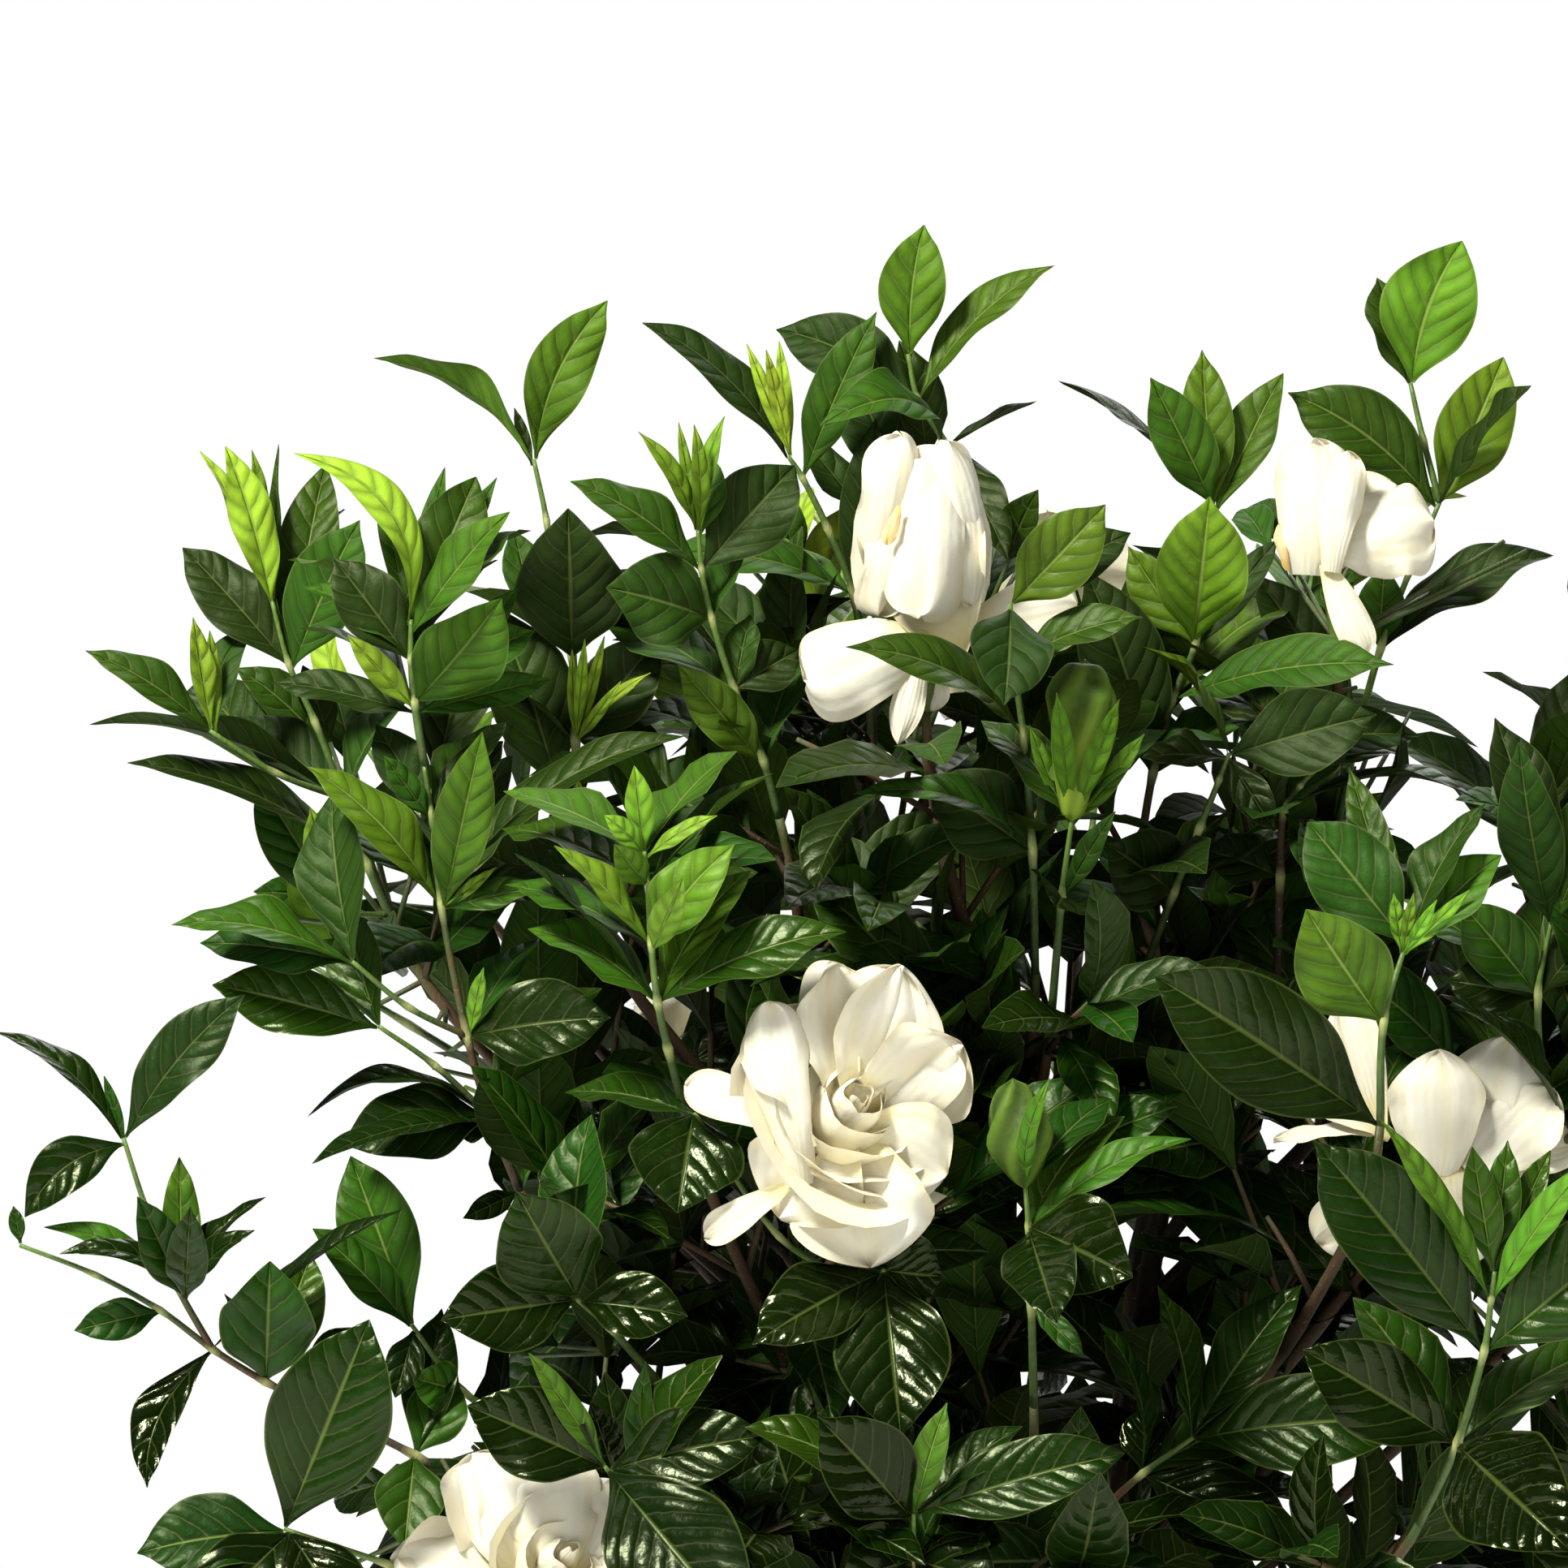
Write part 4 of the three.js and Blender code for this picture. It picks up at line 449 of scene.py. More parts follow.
# Veins of a leaf, from its place across, along and in vein numbers: grooves at whole numbers, the rib in
# the middle, and a bulge between each two veins
def makeVeinGroup():
    tree, given, made = newGroup(
        "leafVeins", {"Place": "Vector"}, {"Veins": "Float", "Rib": "Float", "Bulge": "Float"})
    across, along, vein = addNode(tree, "ShaderNodeSeparateXYZ", [given["Place"]]).outputs
    aside = calc("ABSOLUTE", across)
    wobble = timesPlus(noiseOf(tree, 260.0), 0.22, -0.11)
    between = times(calc("PINGPONG", plus(vein, wobble), 0.5), 2.0)
    rim = minus(1.0, calc("POWER", aside, 6.0), clamp=True)
    hump = calc("SINE", times(between, quarterTurn))
    for name, value in (("Veins", times(minus(1.0, stepUp(between, 0.0, 0.16)), rim)),
                        ("Rib", minus(1.0, stepUp(aside, 0.01, 0.06))),
                        ("Bulge", times(times(hump, rim), stepUp(aside, 0.0, 0.16)))):
        tree.links.new(value, made[name])
    return tree


# Slow and quick changes of tint in one: mottled from 0 to 1
def makeMottleGroup():
    tree, given, made = newGroup("mottle", {"Scale": "Float", "Contrast": "Float"}, {"Value": "Float"})
    coarse = minus(noiseOf(tree, given["Scale"], 4.0), 0.5)
    tree.links.new(timesPlus(coarse, given["Contrast"], 0.5, clamp=True), made["Value"])
    return tree


veinGroup = makeVeinGroup()
mottleGroup = makeMottleGroup()


def mottleOf(tree, scale, contrast):
    return useGroup(tree, mottleGroup, {"Scale": scale, "Contrast": contrast})["Value"]


# Both faces of a leaf: their colours from old to young, how much light they throw back, how clearly the veins
# show, and how high the bulges stand and how deep the rib lies
leafSides = {
    "upper": {
        "ages": [(0, (0.009, 0.024, 0.0015)), (0.33, (0.018, 0.060, 0.002)),
                 (0.67, (0.090, 0.190, 0.007)), (1, (0.25, 0.39, 0.024))],
        "sheen": 0.27, "veins": 0.25, "bulge": 1.0, "rib": 0.4},
    "under": {
        "ages": [(0, (0.020, 0.042, 0.004)), (0.33, (0.042, 0.092, 0.008)),
                 (0.67, (0.105, 0.20, 0.013)), (1, (0.33, 0.44, 0.030))],
        "sheen": 0.16, "veins": 0.4, "bulge": -0.6, "rib": -1.0},
}
leafFinish = {
    "rib": (0.30, 0.42, 0.08),
    "glossy": 0.09,    # roughness of old leaves low in the crown
    "duller": 0.33,    # what young ones at its top add to it
    "dull": 0.5,       # roughness of the under face
    "bulge": 0.0006, "tint": (0.88, 1, 0.6, 1), "oldest": 3.0, "mottle": (90.0, 1.6), "grain": 900.0,
    # olive and green: hue shifts that follow the painted light, olive where it is full, green for young leaves
    # in painted shade
    "hue": 0.494, "hueSpread": 0.03, "olive": 0.013, "green": 0.04,
}


def leafMaterial(name, side):
    face = leafSides[side]
    material, tree, shader = newMaterial(
        name, Specular_IOR_Level=face["sheen"], Specular_Tint=leafFinish["tint"])
    placeVector, (across, along, vein) = attribute(tree, "place")
    tone, variety, paintedLight = attribute(tree, "growth")[1]
    veins = useGroup(tree, veinGroup, {"Place": placeVector})
    mottled = mottleOf(tree, *leafFinish["mottle"])
    age = calc("DIVIDE", tone, leafFinish["oldest"])
    shade = plus(age, timesPlus(mottled, 0.14, -0.07))
    shade = timesPlus(times(minus(along, 0.5), 0.2), age, shade)    # riper towards the tip
    # Painted light and shade: leaves high in the crown are painted lighter and more olive, low ones darker, and
    # young low ones greener
    paintedSunlit = stepUp(paintedLight, 0.7, 1.0)
    hue = timesPlus(variety, leafFinish["hueSpread"], leafFinish["hue"])
    hue = minus(hue, times(paintedSunlit, leafFinish["olive"]))
    hue = timesPlus(times(minus(1.0, paintedSunlit), leafFinish["green"]), times(age, age), hue)
    body = retint(colourRamp(shade, face["ages"]), times(timesPlus(variety, 0.5, 0.75), paintedLight), hue)
    # Painted shade and light on the quilting: darker in the vein grooves, lighter on the bulges between them
    body = retint(body, timesPlus(veins["Bulge"], 0.5, 0.74))
    ribColour = mixColour(timesPlus(age, 0.5, 0.3), body, leafFinish["rib"])
    # Painted edge highlight: a pale band along every leaf's margin
    rim = times(stepUp(calc("ABSOLUTE", across), 0.94, 1.0), 0.4)
    body = mixColour(calc("MAXIMUM", times(veins["Veins"], face["veins"]), rim), body, ribColour)
    body = mixColour(times(veins["Rib"], timesPlus(age, 0.35, 0.5)), body, ribColour)
    rough = leafFinish["dull"]
    if side == "upper":
        youth = calc("MAXIMUM", age, stepUp(paintedLight, 0.5, 1.0))
        rough = timesPlus(youth, leafFinish["duller"], leafFinish["glossy"])
    rough = timesPlus(mottled, 0.1, timesPlus(variety, 0.2, rough))
    humps = times(veins["Bulge"], timesPlus(mottled, 1.4, 0.1))
    relief = plus(times(humps, face["bulge"]), times(noiseOf(tree, leafFinish["grain"], 2.0), 0.08))
    finishSkin(shader, body, rough, minus(relief, times(veins["Rib"], face["rib"])), leafFinish["bulge"], 1.0)
    return material


petalFinish = {
    # shade: a cream for painted shade in folds, at the margin and deep in the bloom, and for real yellowing;
    # throat: the foot's own yellow, darkened as painted shade deep in the bloom
    "body": (0.79, 0.755, 0.62), "shade": (0.76, 0.66, 0.36), "throat": (0.66, 0.57, 0.20),
    "wilted": (0.86, 0.46, 0.05), "mottle": (60.0, 1.8), "roughness": 0.48, "veinDepth": 0.00025,
    "veins": 26.0, "veinDrift": 5.0,
}


def petalMaterial(name):
    material, tree, shader = newMaterial(
        name, Subsurface_Weight=0.25, Subsurface_Scale=0.004, Subsurface_Radius=(1.0, 0.8, 0.5))
    across, along, crease = attribute(tree, "place")[1]
    creamAndHeartShade, variety, wilting = attribute(tree, "growth")[1]
    mottled = mottleOf(tree, *petalFinish["mottle"])
    drift = times(noiseOf(tree, 120.0), petalFinish["veinDrift"])
    lines = calc("SINE", plus(times(across, petalFinish["veins"]), drift))
    base = minus(1.0, stepUp(along, 0.0, 0.4))
    edge = stepUp(calc("ABSOLUTE", across), 0.75, 1.0)
    # Painted shade in the folds' hollows, at the foot and on the heart's petals, together with real mottled
    # yellowing, turns the petal towards the shade colour
    yellowingAndShade = timesPlus(stepUp(crease, 0.1, 1.5), 0.3, plus(times(base, 0.8), times(mottled, 0.35)))
    yellowingAndShade = plus(yellowingAndShade, times(creamAndHeartShade, 0.5), clamp=True)
    body = mixColour(yellowingAndShade, petalFinish["body"], petalFinish["shade"])
    # The foot turns to the throat colour: its own yellow, and painted shade deep in the bloom
    body = mixColour(times(base, 0.5), body, petalFinish["throat"])
    # Painted shade along the petal's margin
    body = mixColour(times(edge, 0.25), body, petalFinish["shade"])
    wilted = times(wilting, timesPlus(mottled, 0.8, 0.35), clamp=True)
    body = mixColour(wilted, body, petalFinish["wilted"])
    rough = timesPlus(mottled, 0.15, petalFinish["roughness"])
    relief = plus(times(lines, 0.2), noiseOf(tree, 300.0))
    finishSkin(shader, body, rough, relief, petalFinish["veinDepth"], 0.8)
    return material


twigFinish = {
    "ages": [(0, (0.13, 0.24, 0.03)), (0.35, (0.055, 0.11, 0.018)), (0.62, (0.120, 0.062, 0.020)),
             (1, (0.060, 0.036, 0.018))],
    "spot": (0.22, 0.19, 0.11), "fibre": (0.02, 0.018, 0.01), "node": (0.52, 0.55, 0.20),
    "mottle": (150.0, 1.8), "fibres": 1400.0, "spots": 420.0, "roughness": 0.45, "groove": 0.0004,
}


def twigMaterial(name):
    material, tree, shader = newMaterial(name)
    woody, node, unused = attribute(tree, "growth")[1]
    age = plus(woody, timesPlus(mottleOf(tree, *twigFinish["mottle"]), 0.3, -0.15))
    coordinates = addNode(tree, "ShaderNodeTexCoord").outputs["Object"]
    stretched = addNode(tree, "ShaderNodeMapping", {"Vector": coordinates, "Scale": (1.0, 1.0, 0.3)})
    fibre = noiseOf(tree, twigFinish["fibres"], vector=stretched.outputs[0])
    cells = addNode(tree, "ShaderNodeTexVoronoi", {"Vector": coordinates, "Scale": twigFinish["spots"]})
    spot = times(minus(1.0, stepUp(cells.outputs["Distance"], 0.12, 0.24)), woody)
    body = mixColour(times(spot, 0.6), colourRamp(age, twigFinish["ages"]), twigFinish["spot"])
    body = mixColour(times(fibre, 0.5), body, twigFinish["fibre"])
    body = mixColour(times(node, 0.65), body, twigFinish["node"])
    rough = timesPlus(woody, 0.3, twigFinish["roughness"])
    finishSkin(shader, body, rough, plus(fibre, times(spot, 0.5)), twigFinish["groove"], 0.8)
    return material


clayFinish = {
    "body": (0.44, 0.150, 0.075), "dark": (0.30, 0.085, 0.042), "bloom": (0.60, 0.44, 0.34),
    "mottle": (14.0, 2.2), "patches": (26.0, 3.2), "specks": 900.0, "roughness": 0.80, "grain": 0.0003,
    "throwing": 620.0, "wander": 5.0,
}


# Fired clay: mottled, with fine turning lines, and pale mineral bloom at the foot and rim
def clayMaterial(name):
    material, tree, shader = newMaterial(name, Specular_IOR_Level=0.25)
    coordinates = addNode(tree, "ShaderNodeTexCoord").outputs["Object"]
    height = addNode(tree, "ShaderNodeSeparateXYZ", [coordinates]).outputs[2]
    body = mixColour(mottleOf(tree, *clayFinish["mottle"]), clayFinish["dark"], clayFinish["body"])
    speck = stepUp(noiseOf(tree, clayFinish["specks"], 2.0), 0.62, 0.72)
    body = mixColour(times(speck, 0.5), body, clayFinish["dark"])
    patches = mottleOf(tree, *clayFinish["patches"])
    low = minus(1.0, stepUp(height, 0.0, 0.085))
    bloom = times(plus(low, times(stepUp(height, 0.19, 0.25), 0.45)), patches, clamp=True)
    body = mixColour(times(bloom, 0.6), body, clayFinish["bloom"])
    rough = timesPlus(patches, 0.12, clayFinish["roughness"])
    wander = timesPlus(noiseOf(tree, 9.0, 2.0), clayFinish["wander"], times(height, clayFinish["throwing"]))
    relief = plus(times(calc("SINE", wander), 0.25), noiseOf(tree, 1200.0))
    finishSkin(shader, body, rough, relief, clayFinish["grain"], 0.7)
    return material


soilFinish = {
    "peat": [(0, (0.010, 0.006, 0.004)), (0.5, (0.035, 0.021, 0.013)), (1, (0.085, 0.055, 0.033))],
    "chip": [(0, (0.06, 0.032, 0.016)), (0.5, (0.13, 0.072, 0.036)), (1, (0.23, 0.14, 0.075))],
    "perlite": [(0, (0.50, 0.47, 0.40)), (0.5, (0.68, 0.66, 0.60)), (1, (0.80, 0.78, 0.73))],
    "contrast": 2.6, "roughness": 0.86, "grain": 0.0015,
}


def soilMaterial(name, kind, scale):
    material, tree, shader = newMaterial(name, Specular_IOR_Level=0.2)
    mottled = mottleOf(tree, scale, soilFinish["contrast"])
    rough = timesPlus(mottled, 0.1, soilFinish["roughness"])
    relief = noiseOf(tree, scale * 3.0, 4.0)
    finishSkin(shader, colourRamp(mottled, soilFinish[kind]), rough, relief, soilFinish["grain"], 0.8)
    return material


upperSkin = leafMaterial("leafUpperSkin", "upper")
underSkin = leafMaterial("leafUnderSkin", "under")
petalSkin = petalMaterial("petalSkin")
twigSkin = twigMaterial("twigSkin")
claySkin = clayMaterial("firedClay")
soilSkins = [soilMaterial("peatSoil", "peat", 160.0), soilMaterial("barkChip", "chip", 220.0),
             soilMaterial("perliteGrain", "perlite", 300.0)]
print("materials made")


def newPiece():
    bm = bmesh.new()
    for name in ("place", "growth"):
        bm.verts.layers.float_vector.new(name)
    return bm


def layersOf(bm):
    return [bm.verts.layers.float_vector[name] for name in ("place", "growth")]


def meshOf(bm, name):
    mesh = bpy.data.meshes.new(name)
    bm.to_mesh(mesh)
    bm.free()
    return mesh


def addObject(name, data):
    thing = bpy.data.objects.new(name, data)
    bpy.context.scene.collection.objects.link(thing)
    return thing


# A part is shaped in a small mesh of its own, because the operators slow down in a large one
def addPart(bm, part):
    mesh = meshOf(part, "part")
    bm.from_mesh(mesh)
    bpy.data.meshes.remove(mesh)


def finishPiece(bm, name, materials, slotName, *nodes):
    bmesh.ops.scale(bm, verts=bm.verts, vec=(mm, mm, mm))
    piece = addObject(name, meshOf(bm, name))
    for material in materials:
        piece.data.materials.append(material)
    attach(piece, "root")
    if nodes:
        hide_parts(*nodes)
    return piece


# The edges or faces that meet in the vertices, each once
def linked(verts, kind):
    return list(dict.fromkeys(part for vert in verts for part in getattr(vert, "link_" + kind)))


def smoothFaces(faces, skin=0):
    for face in faces:
        face.material_index = skin
        face.smooth = True


# A closed thin sheet: two grids shaped alike, a little apart inside and welded along the rim
def growSheet(piece, pointAt, rows, columns, thickness, skins, growth):
    bm = newPiece()
    placeLayer, growthLayer = layersOf(bm)
    upper, lower = [bmesh.ops.create_grid(bm, x_segments=columns, y_segments=rows, size=1)["verts"]
                    for side in range(2)]
    rim = {}
    for top, bottom in zip(upper, lower):
        aside, part = top.co.x, (top.co.y + 1) / 2
        point, out, mark = pointAt(part, aside)
        top.co = point
        bottom.co = point - out * (thickness * (1 - abs(aside) ** 4))
        for vert in (top, bottom):
            vert[placeLayer] = mark
            vert[growthLayer] = growth
        if abs(aside) > 0.999 or abs(part - 0.5) > 0.499:
            rim[bottom] = top
    # Split from its corner inwards, a corner face has no triangle in common with the one below it
    for corner in [vert for vert in upper + lower if len(vert.link_faces) == 1]:
        inner = next(vert for vert in corner.link_faces[0].verts if not vert.is_boundary)
        bmesh.ops.connect_verts(bm, verts=[corner, inner])
    sides = [linked(upper, "faces"), linked(lower, "faces")]
    bmesh.ops.reverse_faces(bm, faces=sides[1])
    for faces, skin in zip(sides, skins):
        smoothFaces(faces, skin)
    bmesh.ops.weld_verts(bm, targetmap=rim)
    welded = set(rim.values())
    for edge in linked(welded, "edges"):
        edge.smooth = not welded.issuperset(edge.verts)
    addPart(piece, bm)


# A round limb: a circle, extruded from point to point
def growLimb(piece, path, radii, ages, sides, skin, nodes=()):
    bm = newPiece()
    placeLayer, growthLayer = layersOf(bm)
    heading = (path[1] - path[0]).normalized()
    turn = skyward.rotation_difference(heading).to_matrix().to_4x4()
    start = Matrix.Translation(path[0]) @ turn
    ring = bmesh.ops.create_circle(bm, segments=sides, radius=radii[0], matrix=start)["verts"]
    rim = linked(ring, "edges")
    faces = bmesh.ops.holes_fill(bm, edges=rim, sides=0)["faces"]
    for vert in ring:
        vert[growthLayer] = (ages[0], 0, 0)
    for step in range(1, len(path)):
        made = bmesh.ops.extrude_edge_only(bm, edges=rim)["geom"]
        ring = [part for part in made if isinstance(part, bmesh.types.BMVert)]
        own = set(ring)
        rim = [part for part in made if isinstance(part, bmesh.types.BMEdge) and own.issuperset(part.verts)]
        faces += [part for part in made if isinstance(part, bmesh.types.BMFace)]
        ahead = (path[min(step + 1, len(path) - 1)] - path[step - 1]).normalized()
        bend = heading.rotation_difference(ahead)
        size = radii[step] / radii[step - 1]
        for vert in ring:
            offset = vert.co - path[step - 1]
            offset.rotate(bend)
            vert.co = path[step] + offset * size
            vert[growthLayer] = (ages[step], float(step in nodes), 0)
            vert[placeLayer] = (0, step / len(path), 0)
        heading = ahead
    faces += bmesh.ops.holes_fill(bm, edges=rim, sides=0)["faces"]
    bmesh.ops.recalc_face_normals(bm, faces=faces)
    smoothFaces(faces, skin)
    addPart(piece, bm)


# A profile of [radius, height] pairs, spun once round the upward axis
def spinProfile(bm, profile, steps, skin=0):
    chain = [bm.verts.new((radius, 0, height)) for radius, height in profile]
    edges = [bm.edges.new(pair) for pair in zip(chain, chain[1:])]
    bmesh.ops.spin(bm, geom=chain + edges, axis=skyward, cent=(0, 0, 0), angle=2 * math.pi, steps=steps,
                   use_merge=True)
    bmesh.ops.remove_doubles(bm, verts=bm.verts, dist=0.002)
    bmesh.ops.recalc_face_normals(bm, faces=bm.faces)
    smoothFaces(bm.faces, skin)


# A smooth curve through the points, with some steps between each two of them
def smoothPath(points, steps=3):
    path = [points[0]]
    for index in range(len(points) - 1):
        first, second = points[index], points[index + 1]
        before = points[index - 1] if index else first
        after = points[index + 2] if index + 2 < len(points) else second
        reach = (second - first).length / 3
        start = first + (second - before).normalized() * reach
        end = second - (after - first).normalized() * reach
        path += geometry.interpolate_bezier(first, start, end, second, steps + 1)[1:]
    return path


# Leaves
leafLook = {
    "rows": 36, "columns": 10, "thickness": 0.4, "veinSpacing": 7.6, "veinRise": 0.95, "veinCurl": 0.3,
    "quilt": 0.15, "ribGroove": 0.35, "rimWave": 0.12, "tipDroop": 0.06, "rootWidth": 0.55, "fold": 0.24,
    # Painted shade: between these heights leaves are painted darker downwards, down to "deepest" of their
    # colour at the lowest
    "shadeBelow": (270, 640), "deepest": 0.32,    # heights between which leaves turn darker downwards
}
# Where each shape of leaf is fullest, and the first station of the CAD's blade with its half width there, by
# which a leaf finds its own corners in the node
leafShapes = {
    "long": {"fullest": 1.2, "station": (0.26, 0.35)},
    "full": {"fullest": 1.12, "station": (0.33, 0.44)},
    "small": {"fullest": 1.02, "station": (0.34, 0.45)},
}
cadBlade = {"thickness": 0.72, "pairStep": 1.8, "rootOut": 0.7, "sproutWidth": 5.5, "near": 0.05}


# Half the width of a leaf of width 1
def leafHalf(part, fullest, sharp):
    if part <= 0 or part >= 1:
        return 0
    body = 0.5 * math.sin(math.pi * part ** fullest) ** 0.8
    return body * (1 - sharp * smoothStep(0.84, 1, part)) * (0.62 + 0.38 * smoothStep(0, 0.34, part))


# Length of a leaf or petal, the way to its tip, its face's way and the way to its right side
def bladeAxes(blade):
    span = blade["tip"] - blade["base"]
    along = span / span.length
    return span.length, along, blade["normal"], along.cross(blade["normal"])


def leafSurface(blade, random):
    length, along, normal, right = bladeAxes(blade)
    width, fold = blade["width"], blade["fold"]
    fullest = leafShapes[blade["shape"]]["fullest"]
    veins = min(max(round(length / leafLook["veinSpacing"]), 4), 11)
    phase, wave = wholeTurn * random(), leafLook["rimWave"] * (0.6 + 0.8 * random())
    quilt = leafLook["quilt"] * min(width / 20, 1)
    sharp = 0.15 + 0.4 * math.sin(phase) ** 2
    droop = leafLook["tipDroop"] * length

    def pointAt(part, aside):
        half = max(leafHalf(part, fullest, sharp) * width, leafLook["rootWidth"] - 0.4 * part)
        off = abs(aside)
        bow = 4 * part * (1 - part) * length
        lean = (leafLook["veinRise"] * off + leafLook["veinCurl"] * off ** 3) * half / length
        vein = veins * (part - lean)
        between = abs(vein - round(vein)) * 2
        lift = fold * half * (1.3 * off - 0.45 * off * off)
        uneven = 0.55 + 0.45 * math.sin(2.3 * vein + phase + 2 * aside)
        lift += quilt * uneven * (between - 0.5) * (1 - off ** 4) * min(half / 4, 1)
        lift -= leafLook["ribGroove"] * math.exp(-((aside * half / 0.9) ** 2)) * min(half / 3, 1)
        lift += wave * half * aside * off * math.sin(12.6 * part + phase)
        lift += wave * half * off * off * math.sin(9 * part + 2 * phase)
        lift -= droop * max(part - 0.75, 0) ** 2 * 4
        point = blade["base"] + along * (part * length) + normal * (blade["arch"] * bow + lift)
        point += right * (aside * half - blade["sway"] * bow)
        return point, normal, (aside, part, vein)
    return pointAt


leafShadows = []    # each leaf as seen from the front: its two ends and how far it covers to each side


def growLeaf(bm, blade, tone, random, rows=None, columns=None):
    reach = 0.42 * blade["width"] * max(abs(blade["normal"].y), 0.25)
    leafShadows.append((blade["base"], blade["tip"], reach))
    size = (blade["tip"] - blade["base"]).length
    rows = rows or max(12, min(leafLook["rows"], round(size * 0.5)))
    columns = columns or (leafLook["columns"] if blade["width"] >= 14 else 6)
    # Painted shade: the lower a leaf's tip, the darker its colour is painted
    paintedLight = blend(leafLook["deepest"], 1, smoothStep(*leafLook["shadeBelow"], blade["tip"].z))
    growth = (tone, random(), paintedLight)
    growSheet(bm, leafSurface(blade, random), rows, columns, leafLook["thickness"], (0, 1), growth)


def shapeFor(length, width):
    if length < 50 or width < 18:
        return "small"
    return "long" if length > 74 else "full"


# The CAD node's corners in millimetres, to look up the nearest one
def cornersOf(node):
    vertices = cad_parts[node].data.vertices
    tree = KDTree(len(vertices))
    for vertex in vertices:
        tree.insert(vertex.co / mm, vertex.index)
    tree.balance()
    return tree


# Where the CAD's blade has its tip and its first corners on both faces
def bladeCorners(blade):
    length, along, normal, right = bladeAxes(blade)
    left = -right
    part, half = leafShapes[blade["shape"]]["station"]
    bow = 4 * part * (1 - part) * length
    reach = half * blade["width"]
    middle = blade["base"] + along * (part * length) + left * (blade["sway"] * bow)
    middle += normal * (blade["arch"] * bow + blade["fold"] * reach)
    points = [blade["tip"], middle + left * reach, middle - left * reach]
    thick = normal * (cadBlade["thickness"] / 2)
    return [point + thick for point in points] + [point - thick for point in points]


# Of the ways in which a leaf may bend, the one that its CAD node shows
def fittedBlade(tree, bladeAt):
    best, most = None, 0
    for bend in bends:
        blade = bladeAt(bend)
        corners = bladeCorners(blade)
        found = sum(tree.find(corner)[2] < cadBlade["near"] for corner in corners)
        if found > most:
            best, most = blade, found
        if found == len(corners):
            break
    return best


# Where a leaf leaves its twig: each pair of one node a little lower
def rootOf(nodes, node, order, tip):
    point, heading = nodes[node]
    base = point - heading * (cadBlade["pairStep"] * (order // 2))
    return base + squareTo(tip - base, heading) * cadBlade["rootOut"]


def shootBlade(nodes, order, bend, node, across, down, width, lean, roll, arch, tone, sway=0):
    tip = place(across, nodes[node][0].y + lean + bend[0], down - bend[2])
    base = rootOf(nodes, node, order, tip)
    along = (tip - base).normalized()
    return {"base": base, "tip": tip, "width": width, "arch": arch, "sway": sway,
            "fold": 0.1 if width < 8 else leafLook["fold"], "normal": facingNormal(along, roll + bend[1]),
            "shape": shapeFor((tip - base).length, width)}


def twigNodes(points):
    nodes = []
    for step, point in enumerate(points):
        heading = point - points[step - 1] if step else points[1] - point
        nodes.append((point, heading.normalized()))
    return nodes


twigLook = {"radius": 1.3, "sideRadius": 1.1, "tipRadius": 0.7, "swelling": 1.3, "sides": 8, "steps": 6}


def growTwig(bm, points, radius, woody):
    path = smoothPath(points, twigLook["steps"])
    nodes = range(twigLook["steps"], len(path) - 1, twigLook["steps"])
    radii, ages = [], []
    for step in range(len(path)):
        part = step / (len(path) - 1)
        taper = blend(radius, twigLook["tipRadius"], part ** 1.5)
        radii.append(taper * (twigLook["swelling"] if step in nodes else 1))
        ages.append(woody * (1 - part))
    growLimb(bm, path, radii, ages, twigLook["sides"], 2, nodes)


# The profile is pairs of [radius as part of the bud's width, height as part of its belly's, up to 2 at the tip]
budLook = {"steps": 36, "lobes": 5, "twist": 2.2, "flute": 0.11, "streak": 0.55,
           "profile": ((0.31, 0.4), (0.5, 1), (0.42, 1.45), (0.24, 1.85))}


def growBud(piece, base, top, width, belly, footTone, topTone):
    bm = newPiece()
    placeLayer, growthLayer = layersOf(bm)
    length = (top - base).length
    outline = [Vector((0, 0, -1)), Vector((0.16 * width, 0, 1.5))]
    for radius, height in budLook["profile"]:
        rise = belly * height if height <= 1 else 1 - (1 - belly) * (2 - height)
        outline.append(Vector((radius * width, 0, rise * length)))
    outline += [Vector((0.08 * width, 0, 0.97 * length)), Vector((0, 0, length))]
    spinProfile(bm, [(point.x, point.z) for point in smoothPath(outline)], budLook["steps"], 3)
    turn = skyward.rotation_difference((top - base).normalized()).to_matrix()
    for vert in bm.verts:
        part = vert.co.z / length
        angle = math.atan2(vert.co.y, vert.co.x)
        ridge = math.cos(budLook["lobes"] * (angle - budLook["twist"] * part))
        swell = 1 + budLook["flute"] * (ridge - 0.6) * min(2 * part, 1)
        vert.co.x *= swell
        vert.co.y *= swell
        vert[placeLayer] = (angle / math.pi, part, 0)
        tone = blend(footTone, topTone, smoothStep(0.3, 0.8, part)) + budLook["streak"] * ridge
        vert[growthLayer] = (tone, 0.5, 1)
        vert.co = base + turn @ vert.co
    addPart(piece, bm)


# How woody a shoot's foot is, where it isn't as the others'
woodyStarts = {"shoot_left_main": 1.0, "shoot_left_arm": 1.2, "shoot_low_right": 0.9, "shoot_low_centre": 0.8,
               "shoot_far_right": 1.3, "shoot_left_sprig": 0.5, "shoot_upper_right": 0.7}

budSkin = leafMaterial("budSkin", "upper")
leafNodes, missing = [], []


def woodyStart(shoot):
    return woodyStarts.get(shoot["name"], 0.35)


